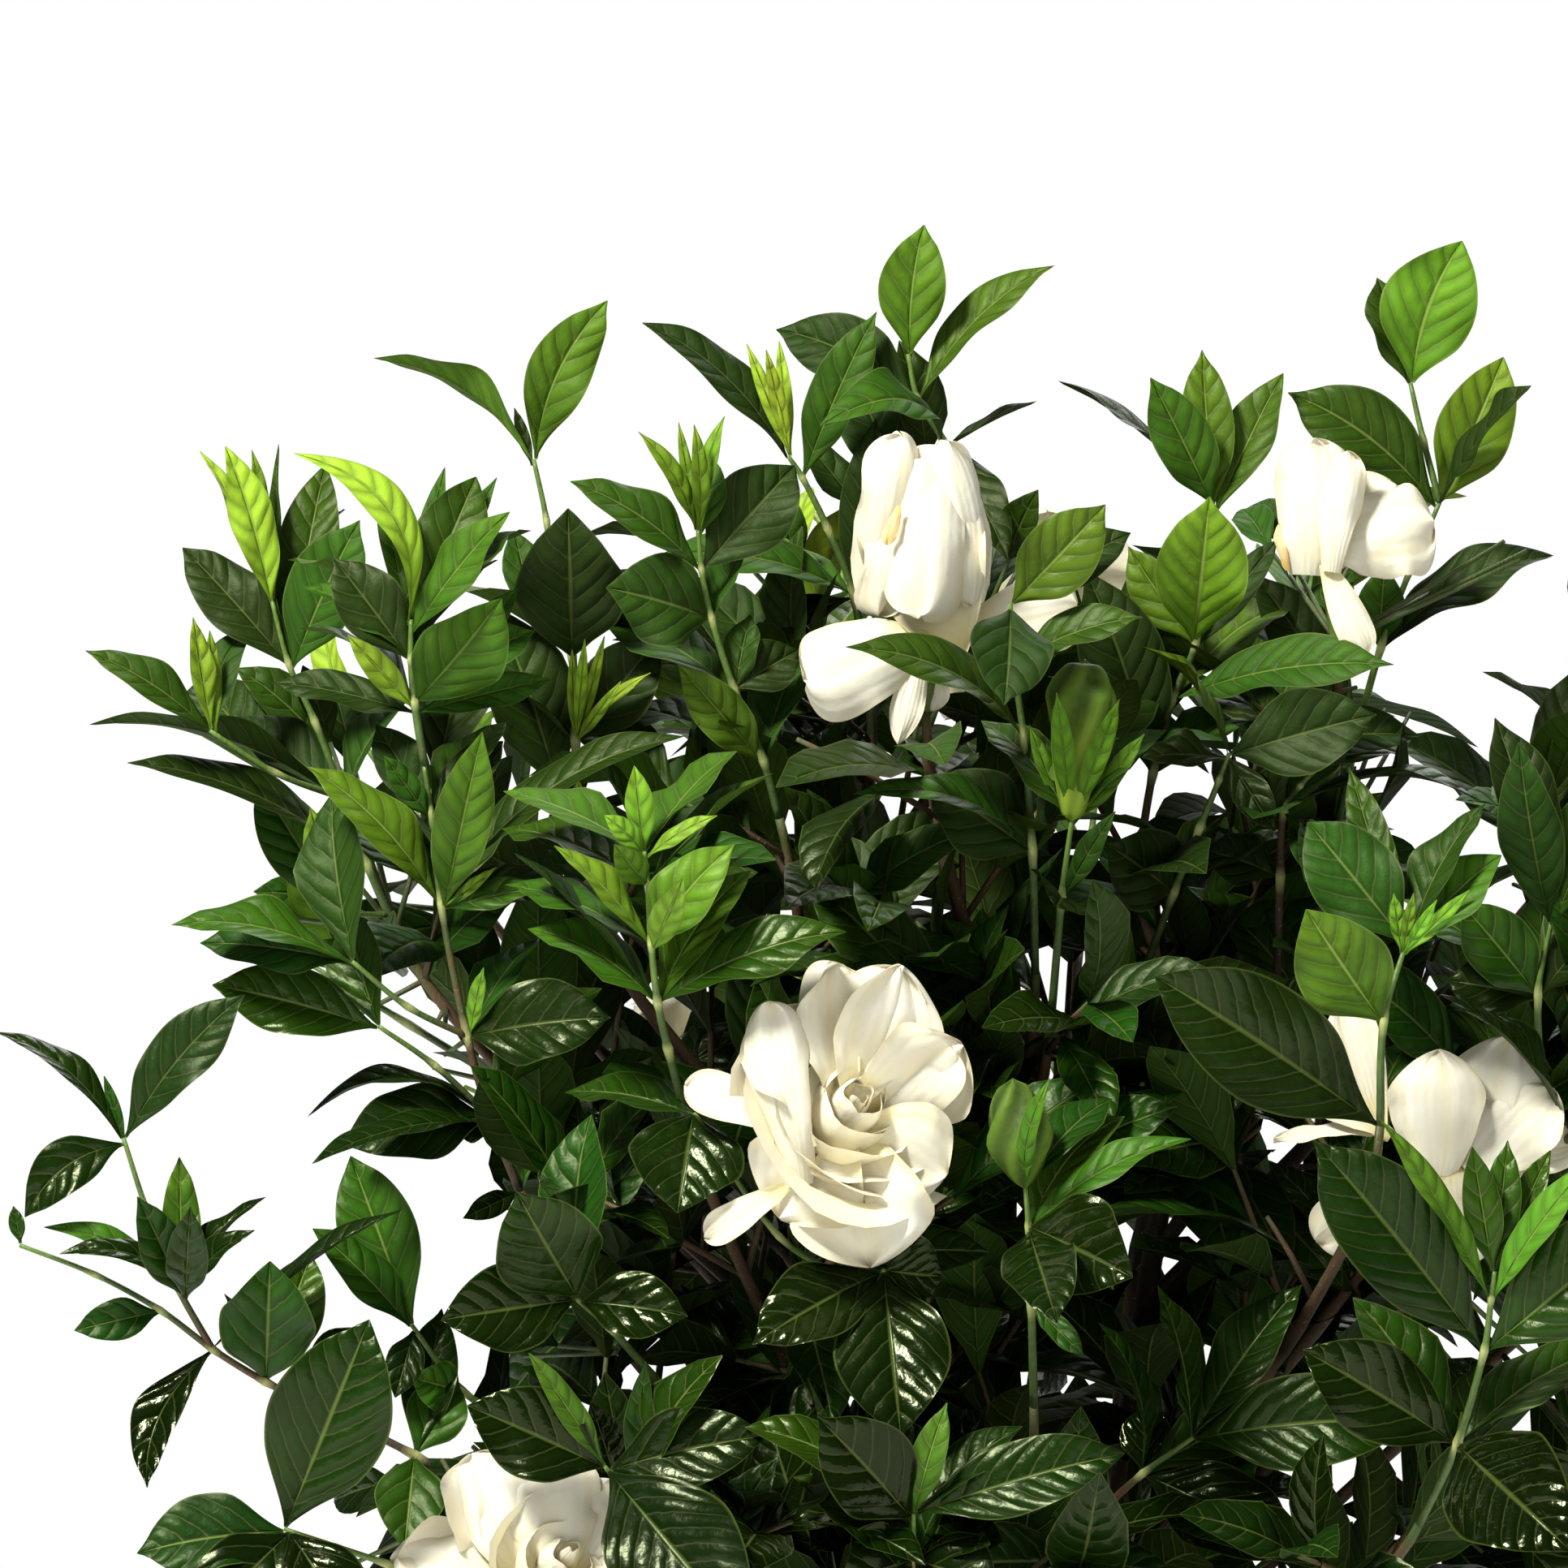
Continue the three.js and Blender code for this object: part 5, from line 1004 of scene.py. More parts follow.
for number, shoot in enumerate(shoots):
    random = randomFrom(300 + number)
    tree = cornersOf(shoot["name"])
    twigs = [[place(*point) for point in twig] for twig in shoot["twigs"]]
    nodes = [node for twig in twigs for node in twigNodes(twig)]
    bm = newPiece()
    for count, twig in enumerate(twigs):
        radius = twigLook["sideRadius"] if count else twigLook["radius"]
        growTwig(bm, twig, radius, woodyStart(shoot) * (0.5 if count else 1))
    if "bud" in shoot:
        node, across, down, width, belly, *tones = shoot["bud"]
        base = nodes[node][0]
        growBud(bm, base, place(across, base.y - 2, down), width, belly, *tones)
    filled = {}
    for leaf in shoot["leaves"]:
        order = filled.get(leaf[0], 0)
        if leaf[3] < cadBlade["sproutWidth"]:
            growLeaf(bm, shootBlade(nodes, order, bends[0], *leaf), leaf[7], random)
            continue
        filled[leaf[0]] = order + 1
        blade = fittedBlade(tree, lambda bend: shootBlade(nodes, order, bend, *leaf))
        if blade:
            growLeaf(bm, blade, leaf[7], random)
        else:
            missing.append((shoot["name"], leaf[:3]))
    for leaf in shoot.get("extras", ()):
        growLeaf(bm, shootBlade(nodes, 0, bends[0], *leaf), leaf[7], random)
    leafNodes += [nodes[node] for node in filled]
    finishPiece(bm, shoot["name"] + "_leaves", [upperSkin, underSkin, twigSkin, budSkin], "leaf", shoot["name"])
print("front shoots made; leaves that the frame doesn't hold:", missing)


# Shoots of the other sides, which the CAD spreads by the golden angle and the frame names
hiddenLook = {"count": 26, "goldenTurn": 137.508, "top": 0.95, "drop": 1.42, "age": 0.5}


def hiddenShoots():
    rx, ry, rz = crown["radii"]
    for count in range(hiddenLook["count"]):
        random = randomFrom(1000 + count)
        level = hiddenLook["top"] - hiddenLook["drop"] * (count + 0.5) / hiddenLook["count"]
        turn = math.radians(count * hiddenLook["goldenTurn"] + 20 * (random() - 0.5))
        ring = math.sqrt(1 - level * level)
        way = Vector((ring * math.cos(turn), ring * math.sin(turn), level))
        heading = (way + skyward * (0.55 + 0.3 * random())).normalized()
        length = 74 + 14 * random()
        reach = 1
        while reach > 0.6:
            tip = Vector((way.x * reach * rx, way.y * ry, crown["middle"] + way.z * reach * rz))
            start = tip - heading * length
            if tip.y < 30 and tip.x < 190:
                break
            if insideOutline(tip + heading * 14) and insideOutline(start):
                yield {"name": f"shoot_other_{count + 1:02d}", "start": start, "tip": tip, "heading": heading,
                       "length": length, "random": random}
                break
            reach -= 0.08


def hiddenLeaves(shoot):
    heading, random = shoot["heading"], shoot["random"]
    sideways = heading.cross(Vector((0.3, 0.2, 1))).normalized()
    upward = sideways.cross(heading)
    firstTurn = wholeTurn * random()
    for pair, (part, size, width, opening) in enumerate(pairs):
        for side in (0, math.pi):
            turn = firstTurn + pair * quarterTurn + side + 0.5 * (random() - 0.5)
            aside = turned(sideways, upward, turn)
            base = shoot["start"] + heading * (part * shoot["length"]) + aside * cadBlade["rootOut"]
            yield {"base": base, "aside": aside, "size": size * (0.85 + 0.3 * random()),
                   "width": width * (0.9 + 0.2 * random()), "tilt": opening + 16 * (random() - 0.5),
                   "roll": 24 * (random() - 0.5), "arch": 0.04 + 0.08 * random(), "pair": pair}


def hiddenBlade(heading, leaf, bend):
    tilt = math.radians(leaf["tilt"] + bend[0])
    along = turned(heading, leaf["aside"], tilt)
    along.z += 0.02 * bend[2]
    along.normalize()
    normal = squareTo(heading + skyward * 0.5, along)
    normal.rotate(Quaternion(along, math.radians(leaf["roll"] + bend[1])))
    return {"base": leaf["base"], "tip": leaf["base"] + along * leaf["size"], "width": leaf["width"],
            "arch": leaf["arch"], "fold": leafLook["fold"], "normal": normal, "sway": 0,
            "shape": shapeFor(leaf["size"], leaf["width"])}


otherShoots = [shoot for shoot in hiddenShoots() if shoot["name"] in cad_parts]
for number, shoot in enumerate(otherShoots):
    random = randomFrom(700 + number)
    tree = cornersOf(shoot["name"])
    bm = newPiece()
    middle = (shoot["start"] + shoot["tip"]) / 2
    growTwig(bm, [shoot["start"], middle, shoot["tip"]], twigLook["radius"], hiddenLook["age"])
    for leaf in hiddenLeaves(shoot):
        blade = fittedBlade(tree, lambda bend: hiddenBlade(shoot["heading"], leaf, bend))
        if blade:
            growLeaf(bm, blade, 0.6 + 0.7 * leaf["pair"] + 0.4 * random(), random, 24, 8)
    finishPiece(bm, shoot["name"] + "_leaves", [upperSkin, underSkin, twigSkin], "leaf", shoot["name"])
print("other shoots made:", len(otherShoots))

# Blooms
petalLook = {
    "rows": 20, "columns": 14, "thickness": 0.45, "twist": 15, "ruffle": 0.09, "crease": 0.013,
    "rimRoll": 0.1, "tipCurl": 0.14, "wrapUp": 120, "wrapOut": 46, "foot": 0.26,
}

# The front's blooms: core [across, depth, down], the way the bloom opens, the frame's outer petals that stay as
# [tip across, tip down, lean, width, arch] and how much wider those are, the heart of petals rolled round each
# other, and draped petals as [base across, base down, base lean, tip across, tip down, tip lean, width, arch,
# roll, degrees it wraps round the viewer's side, how pointed, how wide at its base, how wilted]
openHeart = {"petals": 9, "radius": 24, "height": 27, "drop": 0.24, "spans": (230, 130), "closed": (0.6, -0.3),
             "foot": 0.2, "belly": 0.62}
blooms = {
    "bloom_centre": {
        "core": [262, -178, 345], "axis": [0.12, -1, -0.02], "size": 10, "wider": 1.2, "cupped": [
            [257, 296, -2, 28, 0.05], [278, 297, -3, 30, 0.06], [296, 321, -2, 32, 0.06],
            [291, 361, -2, 34, 0.06], [268, 389, -1, 38, 0.08], [240, 374, -2, 34, 0.08],
            [233, 312, -4, 30, 0.08]],
        "heart": {**openHeart, "petals": 14, "radius": 27.5, "height": 29, "at": [255, -163, 346],
                  "lean": (0.36, -0.86, 0.36), "closed": (0.45, -0.34), "spans": (240, 170), "drop": 0.3},
        "draped": [
            [249, 340, 0, 256, 295.5, 0, 17, 0.05, 0, -60, -0.6],
            [246, 364, -8, 236, 308, -12, 22, 0.07, -15, -100, -0.2, 0.4],
            [252, 346, 0, 277, 297.5, -2, 34, 0.06, 10, -60, 0.5],
            [262, 350, 2, 290, 319, -2, 31, 0.06, 10, -30, -0.6],
            [250, 347, -5, 211, 333, 2, 15, 0.06, 10, 40, 0.1],
            [243, 364, -5, 217, 380, 2, 11, 0.04, 10, 40, -0.2]]},
    "bloom_upper": {
        "core": [285, -98, 203], "axis": [-0.02, -0.12, 1], "size": 6,
        "heart": {"petals": 6, "radius": 18, "height": 49, "drop": 0.02, "spans": (240, 175),
                  "closed": (0.5, 0.24), "foot": 0.1, "belly": 0.5, "at": [284, -96, 190],
                  "lean": (0.02, -0.1, 1)},
        "draped": [
            [293, 204, -4, 281, 154, 6, 46, 0.04, 0, 110, -0.2],
            [288, 137, -6, 283, 190, -18, 31, 0.13, 5, -130, -0.3, 0.52],
            [279, 138, -5, 271, 190, -8, 22, 0.12, -25, -120, 0, 0.4],
            [294, 138, -5, 300, 187, -8, 18, 0.12, 30, -110, 0.2, 0.45],
            [267, 188, 0, 278, 134.5, -16, 25, 0.1, -20, -110, 0.1, 0.35],
            [302, 186, 0, 292, 136, -14, 19, 0.1, 25, -110, 0.2, 0.35],
            [277, 156, -19, 273, 168, -19, 5, 0.1, -10, -60, 0.3, 0.26, 0.8],
            [287, 197, -6, 248, 210, -14, 32, 0.14, 10, -70, -0.4],
            [285, 202, 2, 287, 219, 0, 13, 0.04, 0, -60, 0.3],
            [284, 200, -8, 276.5, 229, -12, 11, 0.06, 0, -60, 1],
            [297, 194, 6, 332, 187, 2, 25, 0.1, 0, -40, -0.4]]},
    "bloom_upper_right": {
        "core": [412, -66, 182], "axis": [-0.06, -0.12, 1], "size": 6,
        "heart": {"petals": 5, "radius": 12, "height": 28, "drop": 0.04, "spans": (240, 170),
                  "closed": (0.7, 0.6), "foot": 0.3, "belly": 0.5, "at": [407, -62, 176],
                  "lean": (0.04, -0.05, 1)},
        "draped": [
            [404, 177, -10, 406.5, 134.5, -8, 29, 0.12, -6, -120, -0.1, 0.5],
            [410, 176, -15, 415.5, 138.5, -12, 17, 0.12, 12, -120, 0, 0.42],
            [412, 166, -8, 442.5, 161, -7, 34, 0.15, 15, -90, 0.05, 0.5],
            [415, 168, 2, 431, 149, 0, 24, 0.06, 20, -40, -0.2],
            [408, 172, -10, 421, 201, -14, 12, 0.06, 0, -40, -0.4],
            [397, 175.5, -9, 394.5, 161, -10, 5, 0.12, -30, -90, 0.2, 0.26, 1]]},
    "bloom_lower_left": {
        "core": [157, -156, 492], "axis": [-0.1, -0.9, 0.45], "size": 8, "wider": 1.34, "cupped": [
            [147, 447, 4, 26, 0.06], [169, 448, 4, 28, 0.06], [188, 458, 0, 26, 0.06], [123, 478, -4, 26, 0.06],
            [127, 512, -8, 28, 0.06], [160, 526, -12, 30, 0.06], [192, 498, -8, 28, 0.06]],
        "heart": {**openHeart, "at": [168, -152, 485], "lean": (0.36, -0.84, 0.42), "radius": 21, "height": 25},
        "draped": [
            [163, 486, -10, 146, 446, -2, 26, 0.06, -10, -50, 0.1],
            [160, 488, -6, 121, 479, -2, 28, 0.08, 20, -40, 0],
            [172, 484, -12, 169, 447, -4, 32, 0.07, 0, -40, -0.3],
            [174, 484, -8, 189, 454, -3, 22, 0.06, 10, -40, 0.2]]},
    "bloom_right": {
        "core": [440, -112, 352], "axis": [0.1, -0.85, 0.5], "size": 8,
        "heart": {**openHeart, "at": [450, -108, 364], "lean": (0.1, -0.5, 0.8), "radius": 9, "height": 12,
                  "petals": 4},
        "draped": [
            [425, 348, -4, 414, 309.5, -6, 16, 0.04, 0, 30, -0.4],
            [428, 350, -4, 401, 333.5, -6, 12, 0.05, 20, 30, 0.7],
            [428, 348, -2, 392, 350, -8, 8, 0.04, 50, 20, 0.9],
            [435, 362, -4, 405, 382, -6, 20, 0.06, 0, -40, -0.1],
            [442, 362, -8, 442.5, 323, -10, 30, 0.04, 12, 16, 0.9, 0.35],
            [453, 362, -5, 464.5, 319, -6, 32, 0.04, 12, -16, 0.8, 0.4],
            [452, 361, -10, 478.5, 335.5, -9, 27, 0.04, 16, 14, 0.6, 0.4],
            [450, 360, -7, 486, 351, -6, 18, 0.05, 20, 20, 0.4],
            [445, 356, -6, 446, 390, -10, 28, 0.06, 0, -40, 0],
            [448, 358, -6, 472, 374, -10, 26, 0.06, 0, -40, 0]]},
}


def cuppedPetal(core, axis, size, tip, width, arch):
    along = (tip - core).normalized()
    tilt = along.angle(axis)
    out = (along - axis * math.cos(tilt)).normalized()
    normal = axis * math.sin(tilt) - out * math.cos(tilt)
    normal.rotate(Quaternion(along, math.radians(petalLook["twist"])))
    flat = smoothStep(0.85, 1.57, tilt)
    wrap = math.radians(blend(petalLook["wrapUp"], petalLook["wrapOut"], flat))
    return {"base": core + along * (0.3 * size), "tip": tip, "width": width, "arch": arch, "wrap": wrap,
            "normal": normal, "pointed": flat, "foot": petalLook["foot"], "wilted": 0}


def drapedPetal(core, baseAcross, baseDown, baseLean, across, down, lean, width, arch, roll, wrap, pointed,
                foot=petalLook["foot"], wilted=0):
    base, tip = place(baseAcross, core.y + baseLean, baseDown), place(across, core.y + lean, down)
    return {"base": base, "tip": tip, "width": width, "arch": arch, "wrap": math.radians(wrap),
            "normal": facingNormal((tip - base).normalized(), roll), "pointed": pointed, "foot": foot,
            "wilted": wilted}


def frontPetals(bloom):
    core = place(*bloom["core"])
    axis = Vector(bloom["axis"]).normalized()
    petals = []
    for across, down, lean, width, arch in bloom.get("cupped", ()):
        tip = place(across, core.y + lean, down)
        petals.append(cuppedPetal(core, axis, bloom["size"], tip, width * bloom["wider"], arch))
    petals += [drapedPetal(core, *petal) for petal in bloom["draped"]]
    return core, axis, bloom["size"], petals


def otherPetals(bloom, seed):
    random = randomFrom(seed)
    turn = math.radians(bloom["turn"])
    core = Vector((bloom["reach"] * math.cos(turn), bloom["reach"] * math.sin(turn), bloom["height"]))
    axis = Vector((math.cos(turn), math.sin(turn), bloom["rise"])).normalized()
    right = skyward.cross(axis).normalized()
    up = axis.cross(right)
    petals = []
    first = wholeTurn * random()
    for petal in range(outerPetals["count"]):
        around = first + wholeTurn * petal / outerPetals["count"] + 0.2 * (random() - 0.5)
        tilt = math.radians(outerPetals["tilt"] + 8 * (random() - 0.5))
        along = turned(axis, turned(right, up, around), tilt)
        length = outerPetals["length"] * bloom["scale"] * (0.93 + 0.14 * random())
        width = outerPetals["width"] * bloom["scale"] * outerPetals["wider"]
        petals.append(cuppedPetal(core, axis, outerPetals["core"], core + along * length, width,
                                  outerPetals["arch"]))
    return core, axis, outerPetals["core"], petals


# Half the width of a petal of width 1
def petalHalf(part, pointed, foot):
    widest = 0.74 - 0.12 * max(pointed, 0)
    if part < widest:
        return 0.5 * (foot + (1 - foot) * math.sin(math.pi / 2 * part / widest) ** (1.25 - 0.9 * foot))
    beyond = (part - widest) / (1 - widest)
    return 0.5 * max(1 - beyond ** (2.4 - 0.7 * pointed), 0.004) ** (0.5 + 0.25 * pointed)


def petalSurface(petal, random):
    length, along, normal, right = bladeAxes(petal)
    phase, other = wholeTurn * random(), wholeTurn * random()
    ruffle = petalLook["ruffle"] * (0.5 + random()) * petal["width"]
    crease = petalLook["crease"] * (0.5 + random()) * petal["width"]
    curl = petalLook["tipCurl"] * (0.4 + random())

    def pointAt(part, aside):
        part = math.sin(math.pi / 2 * part) ** 0.9 if part < 1 else 1
        half = petalHalf(part, petal["pointed"], petal["foot"]) * petal["width"]
        off = abs(aside)
        bow = 4 * part * (1 - part) * length
        around = petal["wrap"] * aside / 2
        lift = half * (1 - math.cos(around)) / (petal["wrap"] / 2)
        lift -= petalLook["rimRoll"] * half * off ** 5 * part
        side = 2 if aside > 0 else 0
        wave = math.sin(9 * part + phase + side) + 0.4 * math.sin(21 * part + other - side)
        lift += ruffle * off ** 3 * wave
        lift += ruffle * part ** 8 * math.sin(5 * aside + other)
        fold = math.sin(7 * aside + phase + 2 * part) + 0.5 * math.sin(13 * aside - other + 3 * part)
        lift += crease * fold * smoothStep(0.1, 0.5, part)
        lift -= curl * length * max(part - 0.7, 0) ** 2 * 3
        point = petal["base"] + along * (part * length) + normal * (petal["arch"] * bow + lift)
        point += right * (half * math.sin(around) / (petal["wrap"] / 2))
        # The third place value, the depth of the folds, lets the skin paint shade into their hollows
        return point, normal, (aside, max(part, petal["foot"] if petal["foot"] > 0.3 else 0), -fold)
    return pointAt


# Petals of a bloom's heart, rolled round its axis, each over the edge of the one inside it
def rolledSurface(core, axis, heart, order, random):
    right = axis.orthogonal().normalized()
    up = axis.cross(right)
    layer = order / (heart["petals"] - 1)
    first = math.radians(137.5 * order + 25 * random())
    span = math.radians(blend(*heart["spans"], layer))
    radius = heart["radius"] * (0.16 + 0.84 * layer)
    height = heart["height"] * (0.95 + 0.1 * random() - heart["drop"] * layer)
    closed = blend(*heart["closed"], layer)
    phase = wholeTurn * random()

    def pointAt(part, aside):
        swelling = math.sin(math.pi / 2 * min(part / heart["belly"], 1) ** 0.75)
        profile = heart["foot"] + (1 - heart["foot"]) * swelling
        beyond = max(part - heart["belly"], 0) / (1 - heart["belly"])
        profile *= 1 - closed * beyond ** 1.7
        off = abs(aside)
        around = first + aside * span / 2 + 0.25 * part
        reach = radius * profile * (1 + 0.14 * aside)
        wave = 0.06 * radius * beyond * math.sin(4 * around + phase)
        reach += wave + 0.25 * layer * math.sin(17 * aside + phase)
        rise = part * height * (1 - (0.14 + 0.12 * layer) * off ** 2.5 + 0.04 * math.sin(5 * aside + phase))
        out = turned(right, up, around)
        return core + axis * rise + out * reach, out, (aside, part, 0)
    return pointAt


calyxLook = {"length": 16, "foot": 2.4, "sides": 12, "steps": 6, "age": 0.1}


def growBloom(name, flower, seed, heart):
    core, axis, size, petals = flower
    random = randomFrom(seed)
    bm = newPiece()
    surfaces = [petalSurface(petal, random) for petal in petals]
    centre = place(*heart["at"]) if "at" in heart else core + axis * 3
    lean = Vector(heart["lean"]).normalized() if "lean" in heart else axis
    surfaces += [rolledSurface(centre, lean, heart, order, random) for order in range(heart["petals"])]
    wilted = [petal["wilted"] for petal in petals] + [0] * heart["petals"]
    for count, (surface, wilt) in enumerate(zip(surfaces, wilted)):
        # Heart petals get more cream: painted shade deep in the bloom, on top of a random cream tint
        creamAndHeartShade = 0.25 * random() + (0.3 if count >= len(petals) else 0)
        growth = (creamAndHeartShade, random(), wilt)
        growSheet(bm, surface, petalLook["rows"], petalLook["columns"], petalLook["thickness"], (0, 0), growth)
    foot = core - axis * calyxLook["length"]
    parts = [step / calyxLook["steps"] for step in range(calyxLook["steps"] + 1)]
    radii = [blend(calyxLook["foot"], 0.7 * size, part ** 1.4) for part in parts]
    ages = [calyxLook["age"]] * len(parts)
    growLimb(bm, [blend(foot, core, part) for part in parts], radii, ages, calyxLook["sides"], 1)
    finishPiece(bm, name + "_petals", [petalSkin, twigSkin], "petal", name)
    return foot, axis


stalks = []
for number, (name, bloom) in enumerate(blooms.items()):
    stalks.append(growBloom(name, frontPetals(bloom), 900 + number, bloom["heart"]))
for number, bloom in enumerate(otherBlooms):
    flower = otherPetals(bloom, 500 + number)
    stalks.append(growBloom(bloom["name"], flower, 950 + number, openHeart))
print("blooms made")

# Wood
wood = {
    "stems": 6, "ring": 40, "spread": 34, "radius": 5.6, "topRadius": 2.4, "top": 478, "soilLevel": 226,
    "foot": 184, "steps": 20, "sides": 12, "knot": 1.12,
}
branchLook = {"radius": 2.5, "taper": 1.1, "knot": 1.15, "points": 14, "sides": 8, "age": 0.5}


# The stem of which a point is in the sector
def sectorOf(point):
    part = math.atan2(point.y, point.x) / (2 * math.pi)
    return math.floor((part + 1 if part < 0 else part) * wood["stems"])


def stemPoint(stem, height):
    turn = 2 * math.pi * (stem + 0.5) / wood["stems"]
    part = max((height - wood["soilLevel"]) / (wood["top"] - wood["soilLevel"]), 0)
    radius = wood["ring"] + wood["spread"] * part * part + 2.5 * math.sin(6 * part + stem) * part
    swing = turn + 0.1 * math.sin(4 * part + 2 * stem) * part
    return Vector((radius * math.cos(swing), radius * math.sin(swing), height))


def branchPath(start, heading):
    stem = sectorOf(start)
    reach = math.hypot(start.x, start.y)
    fork = min(max(start.z - 0.7 * reach - 12, wood["soilLevel"] + 24), wood["top"] - 1)
    origin = stemPoint(stem, fork)
    before = start - heading * min(34, 0.34 * (start - origin).length)
    leaving = origin.lerp(before, 0.6)
    return stem, geometry.interpolate_bezier(origin, leaving, before, start, branchLook["points"])


woodPieces = [newPiece() for stem in range(wood["stems"])]
branches = []
for stem, bm in enumerate(woodPieces):
    path, radii = [], []
    for step in range(wood["steps"] + 1):
        path.append(stemPoint(stem, wood["foot"] + (wood["top"] - wood["foot"]) * step / wood["steps"]))
        taper = wood["radius"] + (wood["topRadius"] - wood["radius"]) * step / wood["steps"]
        radii.append(taper * (wood["knot"] if step % 5 == 2 else 1))
    growLimb(bm, path, radii, [1] * len(path), wood["sides"], 0)
# Where the branches end, with the way that each points there and how woody it still is
starts = []
for shoot in shoots:
    if "grownOn" not in shoot:
        points = [place(*point) for point in shoot["twigs"][0]]
        starts.append((points[0], (points[1] - points[0]).normalized(), woodyStart(shoot)))
starts += [(foot, axis, branchLook["age"]) for foot, axis in stalks]
starts += [(shoot["start"], shoot["heading"], branchLook["age"]) for shoot in otherShoots]
for start, heading, age in starts:
    stem, path = branchPath(start, heading)
    radii, ages = [], []
    for step in range(len(path)):
        taper = branchLook["radius"] - branchLook["taper"] * step / (len(path) - 1)
        radii.append(taper * (branchLook["knot"] if step % 4 == 2 else 1))
        ages.append(blend(1, age, (step / (len(path) - 1)) ** 2))
    growLimb(woodPieces[stem], path, radii, ages, branchLook["sides"], 0)
    branches.append((stem, path))
print("wood made")

# Inner twigs with leaves along the branches
# Inner and filling leaves get tones up to "shade": dark as older leaves are, and dark as painted shade inside
# the crown
innerLook = {
    "perBranch": 5, "length": (30, 62), "leafLength": (38, 64), "leafShare": 0.42, "clearance": 50,
    "lowestTwig": 262, "lowestLeaf": 258, "sides": 5, "shade": 0.9,
}
# Each bloom's core and the way it opens, and the middle of the two tall blooms as the front sees them
flowers = [(foot + axis * calyxLook["length"], axis) for foot, axis in stalks]
flowers += [(place(285, -98, 165), Vector((0, -1, 0))), (place(416, -66, 160), Vector((0, -1, 0)))]
innerPieces = [newPiece() for stem in range(wood["stems"])]
outerLeaves = len(leafShadows)
# The light's ways through the crown that the inner leaves leave open, as circles in the view from the front
lightOpenings = [[455, 222, 16], [446, 198, 11], [461, 202, 15], [477, 196, 14], [474, 177, 9], [456, 160, 15],
                 [468, 168, 9], [388, 238, 7], [96, 478, 8]]


# Whether a point lies in a bloom or, seen from where the bloom looks, before it
def byBloom(point):
    for core, axis in flowers:
        off = point - core
        ahead = off.dot(axis)
        if ahead > -14 and (off - axis * ahead).length < innerLook["clearance"]:
            return True
        if axis.y < -0.5 and off.y < 20 and math.hypot(off.x, off.z) < innerLook["clearance"]:
            return True
    return False


# Whether an inner leaf may reach the point
def isFree(point):
    return insideOutline(point) and not byBloom(point) and not inCircles(point, lightOpenings)


def fits(blade):
    points = [blade["tip"], *bladeCorners(blade)[1:3], blade["base"].lerp(blade["tip"], 0.6)]
    return all(isFree(point) for point in points)


def drawBetween(limits, random):
    return blend(*limits, random())


def growInnerTwig(bm, start, heading, length, random):
    tip = start + heading * length
    if not isFree(tip) or tip.z < innerLook["lowestTwig"] or byBloom(start.lerp(tip, 0.5)):
        return
    path = [start, start.lerp(tip, 0.5) + skyward * 1.5, tip]
    growLimb(bm, path, [1.2, 1.0, 0.8], [0.9, 0.7, 0.5], innerLook["sides"], 2)
    sideways = squareTo(Vector((0.3, 0.2, 1)).cross(heading), heading)
    upward = heading.cross(sideways)
    firstTurn = wholeTurn * random()
    for pair in range(3):
        part = 0.35 + 0.32 * pair
        for side in (0, math.pi):
            turn = firstTurn + pair * quarterTurn + side
            size = drawBetween(innerLook["leafLength"], random)
            leaf = {"base": start.lerp(tip, part), "aside": turned(sideways, upward, turn), "size": size,
                    "width": innerLook["leafShare"] * size, "tilt": 66 - 14 * pair + 16 * (random() - 0.5),
                    "roll": 30 * (random() - 0.5), "arch": 0.04 + 0.08 * random()}
            blade = hiddenBlade(heading, leaf, bends[0])
            if fits(blade) and blade["tip"].z > innerLook["lowestLeaf"]:
                growLeaf(bm, blade, innerLook["shade"] * random(), random, 7, 4)


for number, (stem, path) in enumerate(branches):
    random = randomFrom(4000 + number)
    for twig in range(innerLook["perBranch"]):
        step = 2 + math.floor(random() * (len(path) - 4))
        ahead = (path[step + 1] - path[step]).normalized()
        turn = wholeTurn * random()
        side = squareTo(Vector((math.cos(turn), math.sin(turn), 0.6 * random())), ahead)
        heading = (ahead * 0.5 + side + skyward * 0.3).normalized()
        length = drawBetween(innerLook["length"], random)
        growInnerTwig(innerPieces[stem], path[step], heading, length, random)

# Leaves on the far side of the front shoots' nodes, where gardenias often bear a third leaf
rearLook = {"turns": (-62, 48), "length": (40, 58), "leafShare": 0.44, "tilt": 64}


def growRearLeaf(point, heading, turn, random):
    aside = squareTo(Vector((math.sin(turn), math.cos(turn), 0.15)), heading)
    size = drawBetween(rearLook["length"], random)
    leaf = {"base": point + aside * cadBlade["rootOut"], "aside": aside, "size": size,
            "width": rearLook["leafShare"] * size, "tilt": rearLook["tilt"] + 20 * (random() - 0.5),
            "roll": 30 * (random() - 0.5), "arch": 0.05 + 0.08 * random()}
    blade = hiddenBlade(heading, leaf, bends[0])
    if fits(blade):
        growLeaf(innerPieces[sectorOf(point)], blade, 0.4 + 1.1 * random(), random, 9, 4)


for number, node in enumerate(leafNodes):
    random = randomFrom(6000 + number)
    for turn in rearLook["turns"]:
        growRearLeaf(*node, math.radians(turn + 30 * (random() - 0.5)), random)

# Leaves that close most of the places where the crown, seen from the front, would let light through
fillLook = {
    "heights": (250, 720), "across": (-300, 260), "depth": (-70, 60), "spacing": 8, "share": 0.75, "reach": 90,
    "stalk": 12, "length": (44, 62), "leafShare": 0.46, "sizes": (1, 0.75, 0.55),
}


